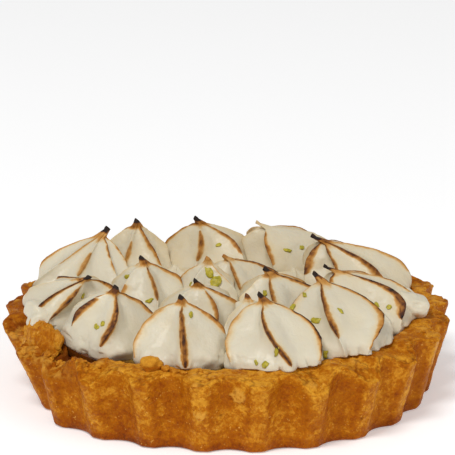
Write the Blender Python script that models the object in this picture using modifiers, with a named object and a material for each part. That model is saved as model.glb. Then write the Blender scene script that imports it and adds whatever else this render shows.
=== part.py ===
"""Single-serve lemon meringue tart.

A fluted shortcrust case holds lemon filling, which is covered with piped and toasted meringue
kisses. Metres, +Z up. The origin is the middle of the underside, and the front of the tart faces -Y.
Bearings are measured from the front (-Y) towards +X.
"""

import math
from collections import namedtuple

import bmesh
import bpy
import numpy as np
from mathutils import Matrix, Vector

MM = 0.001

# Pastry case
UNDERSIDE_RING = 0.75
WALL_RING = 0.45
RIM_RADIUS = 50.5 * MM
BASE_RADIUS = 46.0 * MM
CASE_HEIGHT = 17.6 * MM
FLOOR_THICKNESS = 3.5 * MM
RIM_INNER_RADIUS = 41.0 * MM
RIM_INNER_DROP = 0.4 * MM
FLOOR_INNER_RADIUS = 38.5 * MM
BASE_EDGE_ROUND = 0.9 * MM
RIM_EDGE_ROUND = 0.9 * MM

# Flutes pressed by the tin: narrow ridges between wide scallops
FLUTES = 24
FIRST_RIDGE_BEARING = math.radians(-6.8)
RIM_FLUTE_DEPTH = 3.7 * MM
BASE_FLUTE_DEPTH = 1.8 * MM
RIDGE_HALF_WIDTH = 0.13
FLUTE_PHASES = (-0.13, 0.13, 0.28, 0.42, 0.58, 0.72)

# The case has slumped a little in baking: it is widest at four places, and the ridges of its rim sag
# most at two of them
SLUMP = 0.7 * MM
SLUMP_BEARING = math.radians(35.0)
SAG_LEAST = 0.7 * MM
SAG_MOST = 3.2 * MM
SAG_BEARINGS = (math.radians(33.0), math.radians(-45.0))
SAG_HALF_WIDTH = math.radians(32.0)
RIM_MIDDLE_SAG = 0.35
RIM_ROUGHNESS = 0.22 * MM
SEED = 11

# The rim is broken at the front left: its outer part is gone and its inner part leans in
BREAK_BEARING = math.radians(-64.0)
BREAK_HALF_WIDTH = math.radians(21.0)
BREAK_DEPTH = 2.6 * MM
BREAK_MIDDLE_DEPTH = 0.8 * MM
BREAK_INNER_DEPTH = 0.8 * MM
BREAK_ROUGHNESS = 2.0
BREAK_SETBACK = 1.4 * MM
BREAK_FOOT_SETBACK = 2.8 * MM
BREAK_FOOT_BEARING = math.radians(-80.0)
BREAK_FOOT_HALF_WIDTH = math.radians(28.0)
SHARD_BEARING = math.radians(-70.0)
SHARD_HALF_WIDTH = math.radians(15.0)
SHARD_RISE = 2.6 * MM
SHARD_LEAN = 1.3 * MM

# A large crumb lies on the rim at the front, with two smaller ones beside it
CRUMBS = (
    (-21.5, 43.4 * MM, 2.1 * MM),
    (-17.2, 43.9 * MM, 1.2 * MM),
    (-13.6, 44.4 * MM, 0.9 * MM),
)
CRUMB_FLATNESS = 0.72
CRUMB_SINK = 0.5 * MM

# Filling
GAP = 0.3 * MM
FILLING_TOP = 15.9 * MM
BRIM_RADIUS = 40.7 * MM
FILLING_EDGE_ROUND = 0.5 * MM
FILLING_STEPS = 48

# Kisses at the edge hang over the rim, except by the break and round the large crumb
OVERHANG = 4.6 * MM
OVERHANG_LEAST = 0.2 * MM
HELD_BACK_BEARING = math.radians(-52.0)
HELD_BACK_HALF_WIDTH = math.radians(34.0)
SHARD_CLEAR_HALF_WIDTH = math.radians(18.0)
CRUMB_BEARING = math.radians(-20.0)
CRUMB_HALF_WIDTH = math.radians(7.0)

# Meringue kisses, piped with a six-point star tube
RIBS = 6
COLUMNS_PER_RIB = 4
KISS_BASE = FILLING_TOP + GAP
LEDGE_LEVEL = 1.65
KISS_LEVELS = (0.0, 1.75, 4.2, 6.6, 9.0, 11.1, 13.0)
LEVEL_STEP = 2.4 * MM
SHOULDER = 0.84
SPIKE_RADIUS = 0.085
SPIKE_LEVELS = (0.88, 0.95)
FOOT_TUCK = 0.06
FOOT_HEIGHT = 0.10
FOOT_HOLLOW = 0.03
PANEL_HOLLOW = 0.26
LEAN_POWER = 3.6
NEAREST_SHARE = 0.15

# One row for each kiss: x and y of its foot, its radius, x, y and height of its tip (all in mm), how
# full its dome is, the bearing of its front rib and the twist of its ribs from tip to foot (in degrees)
Kiss = namedtuple("Kiss", "x y radius tip_x tip_y tip_z fullness turn twist")
OUTER_KISSES = (
    Kiss(-9.5, -30.2, 11.0, -10.0, -31.0, 31.0, 2.6, 0, 4),
    Kiss(9.8, -32.3, 11.8, 6.9, -29.8, 31.2, 3.0, 0, 24),
    Kiss(24.3, -22.8, 11.8, 19.0, -17.8, 32.0, 3.2, 2, 10),
    Kiss(31.5, -6.5, 10.8, 21.6, -6.8, 30.0, 4.4, -12, 6),
    Kiss(31.5, 11.5, 12.2, 19.3, 11.0, 31.5, 4.6, 8, 2),
    Kiss(25.0, 24.5, 10.8, 21.0, 26.5, 26.4, 4.5, 20, 0),
    Kiss(12.8, 28.5, 12.4, 6.9, 26.6, 29.8, 6.0, 8, 0),
    Kiss(-3.8, 29.5, 12.0, -7.2, 27.6, 30.6, 2.7, -4, 0),
    Kiss(-21.0, 25.5, 11.4, -20.8, 24.4, 31.0, 1.7, -12, -4),
    Kiss(-33.0, 14.0, 13.2, -27.3, 18.4, 31.0, 2.7, 20, 6),
    Kiss(-35.5, -3.0, 12.6, -30.5, -8.6, 28.0, 4.4, -34, -6),
    Kiss(-26.5, -21.5, 12.0, -24.2, -23.0, 30.5, 2.8, -4, -12),
)
INNER_KISSES = (
    Kiss(-17.0, -1.5, 11.2, -19.1, -2.0, 30.5, 2.4, 8, 6),
    Kiss(-5.0, -15.0, 11.2, -7.0, -16.8, 30.0, 2.8, 10, 6),
    Kiss(4.5, -19.5, 8.8, 4.2, -17.0, 26.6, 2.8, 0, 0),
    Kiss(12.5, -8.5, 11.8, 8.4, -8.5, 30.0, 3.0, 6, 6),
    Kiss(-4.5, -0.5, 10.4, -4.4, -1.0, 30.0, 1.9, -30, 0),
    Kiss(3.5, 8.5, 11.4, -0.6, 6.6, 28.0, 2.8, 12, 4),
    Kiss(16.0, 12.0, 11.4, 15.0, 14.0, 22.5, 2.8, 0, 0),
    Kiss(-12.5, 14.0, 11.6, -12.0, 16.0, 22.5, 2.8, 10, 0),
)

# Zest flecks lying on the kisses: kiss number, bearing in degrees on that kiss, share of its height
ZEST_FLECKS = (
    (1, 42, 0.72),
    (2, -22, 0.19),
    (2, -11, 0.18),
    (2, 4, 0.35),
    (3, -94, 0.70),
    (3, -88, 0.56),
    (3, -43, 0.47),
    (3, 17, 0.61),
    (3, -17, 0.12),
    (4, 16, 0.43),
    (4, 35, 0.41),
    (5, -170, 0.40),
    (7, 7, 0.60),
    (7, 48, 0.58),
    (7, 160, 0.38),
    (8, 30, 0.56),
    (8, 150, 0.44),
    (9, 176, 0.34),
    (10, -110, 0.36),
    (11, 26, 0.62),
    (12, -26, 0.42),
    (12, -6, 0.48),
    (13, -80, 0.66),
    (13, 3, 0.42),
    (16, -36, 0.64),
    (17, -56, 0.56),
    (17, 24, 0.76),
    (17, 41, 0.62),
    (17, 65, 0.52),
    (18, -14, 0.59),
    (18, 150, 0.60),
)
FLECK_SIZE = (0.95 * MM, 0.55 * MM, 0.42 * MM)
FLECK_SINK = 0.35
SHARP_ANGLE = math.radians(50.0)

# A dab of meringue hangs over the rim at the right, against one kiss: kiss number, middle and half sizes
DAB_KISS = 4
DAB_MIDDLE = (41.0 * MM, -5.0 * MM, 20.9 * MM)
DAB_SIZE = (4.0 * MM, 4.8 * MM, 2.5 * MM)

# Finishes
PASTRY_COLOUR = (0.48, 0.18, 0.02)
PASTRY_ROUGHNESS = 0.75
LEMON_COLOUR = (0.58, 0.42, 0.05)
LEMON_ROUGHNESS = 0.3
MERINGUE_COLOUR = (0.84, 0.78, 0.65)
MERINGUE_ROUGHNESS = 0.55


def clear_scene():
    """Removes every object that the file opened with."""
    for found in list(bpy.data.objects):
        bpy.data.objects.remove(found, do_unlink=True)


def new_material(name, colour, roughness):
    """Returns a non-metallic Principled material of one colour."""
    material = bpy.data.materials.new(name)
    material.use_nodes = True
    shader = material.node_tree.nodes["Principled BSDF"]
    shader.inputs["Base Color"].default_value = (*colour, 1.0)
    shader.inputs["Roughness"].default_value = roughness
    shader.inputs["Metallic"].default_value = 0.0
    return material


def new_object(name, mesh, material, collection):
    """Links a mesh to the scene as a named object with one material."""
    mesh.materials.clear()
    mesh.materials.append(material)
    made = bpy.data.objects.new(name, mesh)
    collection.objects.link(made)
    return made


def ringed_mesh(name, rings, bottom, top):
    """Returns a closed mesh: rings of equal length from bottom to top, closed by a point at each end.

    rings is an array of shape (levels, columns, 3), whose columns run anticlockwise seen from above.
    """
    levels, columns, _ = rings.shape
    points = np.concatenate([rings.reshape(-1, 3), [bottom], [top]])
    last = levels * columns
    faces = []
    for column in range(columns):
        beside = (column + 1) % columns
        faces.append((last, beside, column))
        for level in range(levels - 1):
            low = level * columns
            high = low + columns
            faces.append((low + column, low + beside, high + beside, high + column))
        high = (levels - 1) * columns
        faces.append((high + column, high + beside, last + 1))
    mesh = bpy.data.meshes.new(name)
    mesh.from_pydata(points.tolist(), [], faces)
    mesh.update()
    return mesh


def wave(bearings, strength, counts, seed):
    """Returns a smooth closed random wave round the case, as a sum of sines of the given counts."""
    draw = np.random.default_rng(seed)
    total = np.zeros_like(bearings)
    for count in counts:
        total += draw.uniform(0.5, 1.0) * np.sin(count * bearings + draw.uniform(0.0, 2.0 * math.pi))
    return strength * total / math.sqrt(len(counts))


def smoothstep(low, high, values):
    """Returns 0 below low and 1 above high, with an eased rise between them."""
    share = np.clip((values - low) / (high - low), 0.0, 1.0)
    return share * share * (3.0 - 2.0 * share)


def near_share(bearings, middle, half_width, level_share=0.65):
    """Returns 1 round the middle bearing, easing to 0 at the half width."""
    away = np.abs(np.remainder(bearings - middle + math.pi, 2.0 * math.pi) - math.pi)
    return 1.0 - smoothstep(level_share, 1.0, away / half_width)


def rim_waves(bearings):
    """Returns the two random waves that make the rim uneven."""
    rough = wave(bearings, RIM_ROUGHNESS, (7, 13, 31, 43), SEED)
    uneven = wave(bearings, RIM_ROUGHNESS, (3, 5, 11, 37), SEED + 1)
    return rough, uneven


def scallop_share(phases):
    """Returns the depth of a flute at each phase: 0 on the ridge, 1 in the middle of the scallop."""
    away = np.abs(np.remainder(phases + 0.5, 1.0) - 0.5)
    share = np.clip((away - RIDGE_HALF_WIDTH) / (0.5 - RIDGE_HALF_WIDTH), 0.0, 1.0)
    return np.sin(share * math.pi / 2.0) ** 0.8


def at_bearing(bearings, radii, heights):
    """Returns points of an (n, 3) array from bearings, radii and heights."""
    heights = np.broadcast_to(heights, bearings.shape)
    return np.stack([radii * np.sin(bearings), -radii * np.cos(bearings), heights], axis=-1)


def case_mesh():
    """Returns the fluted case: underside, outer wall, uneven rim, inner wall and floor."""
    pitch = 2.0 * math.pi / FLUTES
    flute, phase = np.meshgrid(np.arange(FLUTES), np.array(FLUTE_PHASES), indexing="ij")
    bearings = (FIRST_RIDGE_BEARING + (flute + phase) * pitch).ravel()
    scallop = scallop_share(phase.ravel())
    broken = near_share(bearings, BREAK_BEARING, BREAK_HALF_WIDTH)
    shard = near_share(bearings, SHARD_BEARING, SHARD_HALF_WIDTH)
    rough, uneven = rim_waves(bearings)

    slump = SLUMP * np.cos(4.0 * (bearings - SLUMP_BEARING))
    narrowed = near_share(bearings, BREAK_FOOT_BEARING, BREAK_FOOT_HALF_WIDTH)
    outer_rim = RIM_RADIUS + slump - scallop * RIM_FLUTE_DEPTH + uneven * scallop
    outer_rim -= broken * BREAK_SETBACK
    outer_base = BASE_RADIUS + slump - scallop * BASE_FLUTE_DEPTH - narrowed * BREAK_FOOT_SETBACK
    sagging = sum(near_share(bearings, middle, SAG_HALF_WIDTH, 0.3) for middle in SAG_BEARINGS)
    sag = (SAG_LEAST + (SAG_MOST - SAG_LEAST) * sagging) * (1.0 - scallop)
    crumbly = 1.0 + BREAK_ROUGHNESS * broken
    rim_edge = CASE_HEIGHT - sag - broken * BREAK_DEPTH + rough * crumbly
    rim_edge_radius = outer_rim - RIM_EDGE_ROUND
    rim_middle = CASE_HEIGHT - RIM_MIDDLE_SAG * sag - broken * BREAK_MIDDLE_DEPTH + uneven * crumbly
    inner_rim = RIM_INNER_RADIUS - shard * SHARD_LEAN
    inner_edge = CASE_HEIGHT - RIM_INNER_DROP - broken * BREAK_INNER_DEPTH + shard * SHARD_RISE + rough

    def wall(share):
        """Returns the outer wall's radius at a share of its height."""
        return outer_base + (outer_rim - outer_base) * share

    neck = rim_edge - RIM_EDGE_ROUND
    rings = (
        at_bearing(bearings, UNDERSIDE_RING * outer_base, 0.0),
        at_bearing(bearings, outer_base - BASE_EDGE_ROUND, 0.0),
        at_bearing(bearings, wall(BASE_EDGE_ROUND / CASE_HEIGHT), BASE_EDGE_ROUND),
        at_bearing(bearings, wall(WALL_RING), WALL_RING * rim_edge),
        at_bearing(bearings, wall(1.0), neck),
        at_bearing(bearings, rim_edge_radius, rim_edge),
        at_bearing(bearings, 0.5 * (rim_edge_radius + inner_rim), rim_middle),
        at_bearing(bearings, inner_rim, inner_edge),
        at_bearing(bearings, np.full_like(bearings, BRIM_RADIUS), FILLING_TOP),
        at_bearing(bearings, np.full_like(bearings, FLOOR_INNER_RADIUS), FLOOR_THICKNESS),
    )
    return ringed_mesh("crust", np.array(rings), (0.0, 0.0, 0.0), (0.0, 0.0, FLOOR_THICKNESS))


def lump_mesh(name, size, matrix, subdivisions=1):
    """Returns a faceted lump of the given half sizes, placed by a matrix."""
    shape = bmesh.new()
    bmesh.ops.create_icosphere(shape, subdivisions=subdivisions, radius=1.0)
    bmesh.ops.scale(shape, vec=Vector(size), verts=shape.verts)
    bmesh.ops.transform(shape, matrix=matrix, verts=shape.verts)
    mesh = bpy.data.meshes.new(name)
    shape.to_mesh(mesh)
    shape.free()
    return mesh


def fuse(target, lumps):
    """Joins the lump meshes to the target object by one Boolean union, and applies it."""
    if not lumps:
        return
    group = bpy.data.collections.new(target.name + "_lumps")
    bpy.context.scene.collection.children.link(group)
    pieces = [bpy.data.objects.new(mesh.name, mesh) for mesh in lumps]
    for piece in pieces:
        group.objects.link(piece)
    union = target.modifiers.new("fuse", "BOOLEAN")
    union.operation = "UNION"
    union.operand_type = "COLLECTION"
    union.collection = group
    union.solver = "EXACT"
    graph = bpy.context.evaluated_depsgraph_get()
    fused = bpy.data.meshes.new_from_object(target.evaluated_get(graph))
    target.modifiers.clear()
    target.data = fused
    for piece in pieces:
        bpy.data.objects.remove(piece, do_unlink=True)
    bpy.data.collections.remove(group)


def crumb_meshes(crust):
    """Returns the crumbs that lie on the front of the crust's rim."""
    lumps = []
    for number, (degrees, radius, size) in enumerate(CRUMBS, start=1):
        bearing = math.radians(degrees)
        flat = CRUMB_FLATNESS * size
        above = Vector((radius * math.sin(bearing), -radius * math.cos(bearing), CASE_HEIGHT + size))
        _, place, _, _ = crust.closest_point_on_mesh(above)
        place = place + Vector((0.0, 0.0, flat - CRUMB_SINK))
        turn = Matrix.Rotation(bearing + 0.4 * number, 4, "Z") @ Matrix.Rotation(0.3 * number, 4, "X")
        lumps.append(lump_mesh(f"crumb_{number}", (size, flat, flat), Matrix.Translation(place) @ turn))
    return lumps


def filling_object(material, collection):
    """Makes the filling as a turned profile that ends a gap away from the case."""
    low = FLOOR_THICKNESS + GAP
    brim = BRIM_RADIUS - 1.2 * GAP
    profile = (
        (0.0, FILLING_TOP),
        (0.6 * brim, FILLING_TOP),
        (brim - FILLING_EDGE_ROUND, FILLING_TOP),
        (brim, FILLING_TOP - FILLING_EDGE_ROUND),
        (FLOOR_INNER_RADIUS - 1.2 * GAP, low),
        (0.0, low),
    )
    mesh = bpy.data.meshes.new("lemon_filling")
    edges = [(index, index + 1) for index in range(len(profile) - 1)]
    mesh.from_pydata([(radius, 0.0, height) for radius, height in profile], edges, [])
    filling = new_object("lemon_filling", mesh, material, collection)
    turn = filling.modifiers.new("turn", "SCREW")
    turn.axis = "Z"
    turn.steps = FILLING_STEPS
    turn.render_steps = FILLING_STEPS
    turn.use_merge_vertices = True
    turn.merge_threshold = 0.00005
    turn.use_normal_calculate = True
    return filling


def kiss_profile(share, fullness):
    """Returns a kiss's rib radius as a share of its full radius, at each share of its height.

    A dome that closes at the shoulder, tucked in at the foot, joined to a thin spike.
    """
    dome = np.clip(1.0 - (share / SHOULDER) ** fullness, 0.0, 1.0) ** 0.9
    tuck = 1.0 - FOOT_TUCK * np.clip(1.0 - share / FOOT_HEIGHT, 0.0, 1.0) ** 2
    spike = SPIKE_RADIUS * np.sqrt(np.clip(1.0 - share ** 6, 0.0, 1.0))
    return np.sqrt((dome * tuck) ** 2 + spike ** 2)


def kiss_height(kiss):
    """Returns a kiss's height above its foot."""
    return kiss.tip_z * MM - KISS_BASE


def kiss_axis(kiss, heights):
    """Returns the middle of a kiss at each height, as an (n, 2) array: it leans more near the tip."""
    share = np.clip((heights - KISS_BASE) / kiss_height(kiss), 0.0, 1.0)[:, None] ** LEAN_POWER
    foot = np.array((kiss.x, kiss.y)) * MM
    tip = np.array((kiss.tip_x, kiss.tip_y)) * MM
    return foot + (tip - foot) * share


def kiss_reach(kiss, heights):
    """Returns a kiss's rib radius at each height, and 0 above its tip."""
    share = (heights - KISS_BASE) / kiss_height(kiss)
    profile = kiss_profile(np.clip(share, 0.0, 1.0), kiss.fullness)
    return np.where(share <= 1.0, kiss.radius * MM * profile, 0.0)


def rim_limit(bearings, heights):
    """Returns how far out a kiss may reach: inside the case up to its rim, and over the rim above it."""
    held_back = near_share(bearings, HELD_BACK_BEARING, HELD_BACK_HALF_WIDTH)
    shard = near_share(bearings, SHARD_BEARING, SHARD_CLEAR_HALF_WIDTH)
    crumb = near_share(bearings, CRUMB_BEARING, CRUMB_HALF_WIDTH)
    inside = BRIM_RADIUS - GAP - shard * SHARD_LEAN
    over = inside + np.maximum(OVERHANG * (1.0 - held_back) * (1.0 - crumb), OVERHANG_LEAST)
    return np.where(heights < CASE_HEIGHT + GAP + shard * (SHARD_RISE + GAP), inside, over)


def rim_surface(bearings):
    """Returns the height that a kiss lying on the rim keeps above it, without the sag of the ridges."""
    rough, uneven = rim_waves(bearings)
    return CASE_HEIGHT + np.maximum(uneven, rough - RIM_INNER_DROP) + 1.3 * GAP


def kiss_rings(kiss, kisses, heights, angles):
    """Returns the rings of one kiss as a (levels, columns, 3) array.

    Each ring is a star about the kiss's axis. Where two kisses meet, both stop half a gap short of the
    line that divides them at that height, and near the case all stop short of the rim.
    """
    share = np.clip((heights - KISS_BASE) / kiss_height(kiss), 0.0, 1.0)
    reach = kiss_reach(kiss, heights)
    turn = np.radians(kiss.turn + kiss.twist * (1.0 - share))[:, None]
    # A bearing b points along (sin b, -cos b), so it is the angle b - 90 degrees from +X.
    star = np.abs(np.sin(0.5 * RIBS * (angles[None, :] + math.pi / 2.0 - turn))) ** 0.9
    hollow = FOOT_HOLLOW + PANEL_HOLLOW * smoothstep(0.05, 0.65, share)[:, None]
    radii = reach[:, None] * (1.0 - hollow * star)
    along = np.stack([np.cos(angles), np.sin(angles)], axis=-1)
    axis = kiss_axis(kiss, heights)
    for other in kisses:
        if other is kiss:
            continue
        other_reach = np.maximum(kiss_reach(other, heights), kiss_reach(other, heights - LEVEL_STEP))
        apart = kiss_axis(other, heights) - axis
        distance = np.linalg.norm(apart, axis=1)
        divide = (distance ** 2 + reach ** 2 - other_reach ** 2) / (2.0 * distance)
        divide = np.clip(divide, NEAREST_SHARE * distance, (1.0 - NEAREST_SHARE) * distance)
        divide = np.where(other_reach > 0.0, divide - 0.6 * GAP, np.inf)
        facing = (apart / distance[:, None]) @ along.T
        limit = divide[:, None] / np.where(facing > 1e-6, facing, np.nan)
        radii = np.fmin(radii, limit)
    flat = axis[:, None, :] + radii[:, :, None] * along[None, :, :]
    out = np.linalg.norm(flat, axis=2)
    bearings = np.arctan2(flat[:, :, 0], -flat[:, :, 1])
    flat *= np.minimum(1.0, rim_limit(bearings, heights[:, None]) / out)[:, :, None]
    tall = np.broadcast_to(heights[:, None], out.shape)
    on_rim = np.linalg.norm(flat, axis=2) > BRIM_RADIUS
    tall = np.where(on_rim, np.maximum(tall, rim_surface(bearings)), tall)
    return np.concatenate([flat, tall[:, :, None]], axis=2)


def kiss_levels(kiss):
    """Returns the heights of a kiss's rings: levels shared by all kisses, then its spike's.

    A kiss of the outer row also has a ring just under the ledge that lies on the rim.
    """
    height = kiss_height(kiss)
    levels = sorted(KISS_LEVELS + (LEDGE_LEVEL,)) if kiss in OUTER_KISSES else KISS_LEVELS
    shared = [KISS_BASE + level * MM for level in levels if level * MM < 0.8 * height]
    return np.array(shared + [KISS_BASE + level * height for level in SPIKE_LEVELS])


def kiss_mesh(name, kiss, kisses):
    """Returns one kiss as a closed mesh."""
    columns = RIBS * COLUMNS_PER_RIB
    angles = np.radians(kiss.turn) - math.pi / 2.0 + np.arange(columns) * 2.0 * math.pi / columns
    rings = kiss_rings(kiss, kisses, kiss_levels(kiss), angles)
    foot = (*rings[0].mean(axis=0)[:2], KISS_BASE)
    tip = (kiss.tip_x * MM, kiss.tip_y * MM, kiss.tip_z * MM)
    return ringed_mesh(name, rings, foot, tip)


def fleck_mesh(name, made, kiss, kisses, degrees, share, number):
    """Returns a zest fleck that lies on a kiss's faces at a bearing and a share of its height."""
    height = KISS_BASE + share * kiss_height(kiss)
    angle = math.radians(degrees) - math.pi / 2.0
    point = kiss_rings(kiss, kisses, np.array([height]), np.array([angle]))[0, 0]
    _, place, outward, _ = made.closest_point_on_mesh(Vector(point))
    along = outward.cross(Vector((0.0, 0.0, 1.0))).normalized()
    frame = Matrix((along, outward.cross(along), outward)).transposed().to_4x4()
    place = place + outward * FLECK_SIZE[2] * (1.0 - 2.0 * FLECK_SINK)
    spin = Matrix.Rotation(0.9 * number, 4, "Z")
    return lump_mesh(name, FLECK_SIZE, Matrix.Translation(place) @ frame @ spin)


def make_kisses(material, collection):
    """Makes every kiss, with the zest flecks that lie on it fused to it."""
    kisses = OUTER_KISSES + INNER_KISSES
    for number, kiss in enumerate(kisses, start=1):
        name = f"meringue_kiss_{number:02d}"
        made = new_object(name, kiss_mesh(name, kiss, kisses), material, collection)
        flecks = [
            fleck_mesh(f"zest_{index:02d}", made, kiss, kisses, degrees, share, index)
            for index, (owner, degrees, share) in enumerate(ZEST_FLECKS)
            if owner == number
        ]
        if number == DAB_KISS:
            flecks.append(lump_mesh("dab", DAB_SIZE, Matrix.Translation(DAB_MIDDLE), subdivisions=2))
        fuse(made, flecks)
        made.data.shade_smooth()
        made.data.set_sharp_from_angle(angle=SHARP_ANGLE)


def main():
    """Builds the tart."""
    clear_scene()
    tart = bpy.data.collections.new("lemon_meringue_tart")
    bpy.context.scene.collection.children.link(tart)
    pastry = new_material("shortcrust", PASTRY_COLOUR, PASTRY_ROUGHNESS)
    lemon = new_material("lemon_curd", LEMON_COLOUR, LEMON_ROUGHNESS)
    meringue = new_material("meringue", MERINGUE_COLOUR, MERINGUE_ROUGHNESS)
    crust = new_object("crust", case_mesh(), pastry, tart)
    fuse(crust, crumb_meshes(crust))
    filling_object(lemon, tart)
    make_kisses(meringue, tart)


main()
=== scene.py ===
"""Looks of a single-serve lemon meringue tart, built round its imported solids.

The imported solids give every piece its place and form. Here the pastry case, the filling and each
piped kiss are replaced by fine surfaces of the same form, with the torch marks, the crumb of the
pastry, the zest and the crumbs that the solids leave out. Metres, +Z up. The front of the tart faces
-Y, and bearings are measured from the front towards +X.
"""

import logging
import math
from dataclasses import dataclass
from enum import Enum

import bpy
import numpy as np
from bpy.types import ID, Material, Mesh, Node, NodeSocket, Object
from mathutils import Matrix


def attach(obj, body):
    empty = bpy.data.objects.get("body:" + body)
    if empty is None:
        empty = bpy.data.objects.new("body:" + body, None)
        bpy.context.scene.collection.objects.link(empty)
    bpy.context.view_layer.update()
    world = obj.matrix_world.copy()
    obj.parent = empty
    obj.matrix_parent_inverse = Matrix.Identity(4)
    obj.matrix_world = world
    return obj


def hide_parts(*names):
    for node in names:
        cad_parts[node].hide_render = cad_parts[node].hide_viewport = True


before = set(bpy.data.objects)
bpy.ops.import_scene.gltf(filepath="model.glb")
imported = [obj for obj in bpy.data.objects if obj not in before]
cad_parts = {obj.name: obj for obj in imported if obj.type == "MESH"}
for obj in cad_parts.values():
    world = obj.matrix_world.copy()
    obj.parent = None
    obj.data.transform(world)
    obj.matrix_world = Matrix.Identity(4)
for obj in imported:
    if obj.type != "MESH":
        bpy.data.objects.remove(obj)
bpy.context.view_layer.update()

MM = 0.001
TURN = 2.0 * math.pi
TINY = 1e-9
Array = np.ndarray
Triple = tuple[float, float, float]
Colour = Triple
Span = tuple[float, float]

# Whole numbers that mix the bits of a lattice cell's place
AXIS_PRIMES = (73856093, 19349663, 83492791)
SEED_PRIME = 2654435761
BIT_MIXERS = ((15, 2246822519), (13, 3266489917))
LAST_SHIFT = 16
LOW_BITS = 0xFFFFFFFF
HALF_RANGE = 2147483648.0
SPOT_SCATTER = 0.38

log = logging.getLogger("tart")


def lattice_values(cells: Array, seed: int) -> Array:
    """Gives each cell of a cubic lattice its own fixed random value, by mixing the bits of its place.

    Args:
        cells: whole numbers, shape (..., 3).
        seed: picks the lattice.

    Returns:
        Values between -1 and 1.
    """
    first, second, third = AXIS_PRIMES
    mixed = cells[..., 0] * first ^ cells[..., 1] * second ^ cells[..., 2] * third
    mixed = (mixed ^ seed * SEED_PRIME) & LOW_BITS
    for shift, multiplier in BIT_MIXERS:
        mixed = ((mixed ^ mixed >> shift) * multiplier) & LOW_BITS
    mixed = mixed ^ mixed >> LAST_SHIFT
    return mixed / HALF_RANGE - 1.0


def soft_noise(points: Array, cell: float, seed: int) -> Array:
    """Works out a smooth random field: lattice values blended with an eased weight towards each corner.

    Args:
        points: places, shape (..., 3).
        cell: side of a lattice cell.
        seed: picks the lattice.

    Returns:
        Values between -1 and 1.
    """
    scaled = points / cell
    corner = np.floor(scaled)
    part = scaled - corner
    ease = part * part * (3.0 - 2.0 * part)
    corner = corner.astype(np.int64)
    total = np.zeros(points.shape[:-1])
    for number in range(8):
        step = np.array([number & 1, number >> 1 & 1, number >> 2 & 1])
        weight = np.where(step == 1, ease, 1.0 - ease).prod(axis=-1)
        total += weight * lattice_values(corner + step, seed)
    return total


def rough_noise(points: Array, cell: float, seed: int, octaves: int) -> Array:
    """Returns soft noise with finer layers added, each half the size and strength of the last."""
    layers = [soft_noise(points, cell / 2**n, seed + n) / 2**n for n in range(octaves)]
    return sum(layers) / (2.0 - 0.5 ** (octaves - 1))


def nearest_spot(points: Array, cell: float, seed: int) -> tuple[Array, Array]:
    """Measures how far each point is from the nearest of many scattered spots, one to a lattice cell.

    Args:
        points: places, shape (..., 3).
        cell: side of a lattice cell.
        seed: picks the scatter.

    Returns:
        The distance, and that spot's own random value between 0 and 1.
    """
    home = np.floor(points / cell).astype(np.int64)
    best = np.full(points.shape[:-1], np.inf)
    chosen = np.zeros(points.shape[:-1])
    for number in range(27):
        cells = home + np.array([number % 3, number // 3 % 3, number // 9]) - 1
        shift = np.stack([lattice_values(cells, seed + axis) for axis in (1, 2, 3)], axis=-1)
        spot = (cells + 0.5 + SPOT_SCATTER * shift) * cell
        away = np.linalg.norm(points - spot, axis=-1)
        nearer = away < best
        best = np.where(nearer, away, best)
        chosen = np.where(nearer, 0.5 + 0.5 * lattice_values(cells, seed + 4), chosen)
    return best, chosen


def eased(low: float, high: float, values: Array) -> Array:
    """Returns 0 below low and 1 above high, with an eased rise between them."""
    share = np.clip((values - low) / (high - low), 0.0, 1.0)
    return share * share * (3.0 - 2.0 * share)


def soft_least(first: Array, second: Array, softness: Array) -> Array:
    """Returns the lesser of two lengths, less softness times log(1 + exp(-difference / softness))."""
    apart = np.minimum(np.abs(first - second) / softness, 40.0)
    return np.minimum(first, second) - softness * np.log1p(np.exp(-apart))


def closed_wave(bearings: Array, strength: float, counts: tuple[int, ...], seed: int) -> Array:
    """Works out a smooth random wave round the case: a sum of sines with the given counts to the turn.

    Args:
        bearings: where the wave is wanted.
        strength: how strong it is.
        counts: how many crests each sine has to the turn.
        seed: picks the shares and the shifts of the sines.

    Returns:
        The wave at each bearing.
    """
    draw = np.random.default_rng(seed)
    total = np.zeros_like(bearings)
    for count in counts:
        total += draw.uniform(0.5, 1.0) * np.sin(count * bearings + draw.uniform(0.0, TURN))
    return strength * total / math.sqrt(len(counts))


def softened(values: Array, columns: float) -> Array:
    """Blurs a closed row of values by a bell curve of the given half width, as a product of spectra."""
    bell = np.exp(-0.5 * (TURN * np.fft.rfftfreq(values.shape[-1]) * columns) ** 2)
    return np.fft.irfft(np.fft.rfft(values) * bell, values.shape[-1])


def bearings_of(points: Array) -> Array:
    """Returns the bearing of each point round the upright axis, in radians."""
    return np.arctan2(points[..., 0], -points[..., 1])


def at_bearing(bearings: Array, radii: Array, heights: Array) -> Array:
    """Returns points from bearings, radii and heights, which are broadcast to one shape."""
    bearings, radii, heights = np.broadcast_arrays(bearings, radii, heights)
    return np.stack([radii * np.sin(bearings), -radii * np.cos(bearings), heights], axis=-1)


def grid_normals(grid: Array) -> Array:
    """Returns the outward directions of closed rings: the cross product of the steps across and up."""
    normals = np.cross(np.roll(grid, -1, axis=1) - np.roll(grid, 1, axis=1), np.gradient(grid, axis=0))
    return normals / np.maximum(np.linalg.norm(normals, axis=-1, keepdims=True), 1e-15)


def ball_points(around: int, up: int) -> Array:
    """Returns points of a unit sphere, ring by ring from below, with its two poles last."""
    turn = np.arange(around)[None, :] * TURN / around
    rise = (np.arange(up) + 0.5)[:, None] / up * math.pi
    flat = np.sin(rise)
    rings = np.stack(np.broadcast_arrays(flat * np.cos(turn), flat * np.sin(turn), -np.cos(rise)), -1)
    return np.concatenate([rings.reshape(-1, 3), [[0.0, 0.0, -1.0]], [[0.0, 0.0, 1.0]]])


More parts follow.
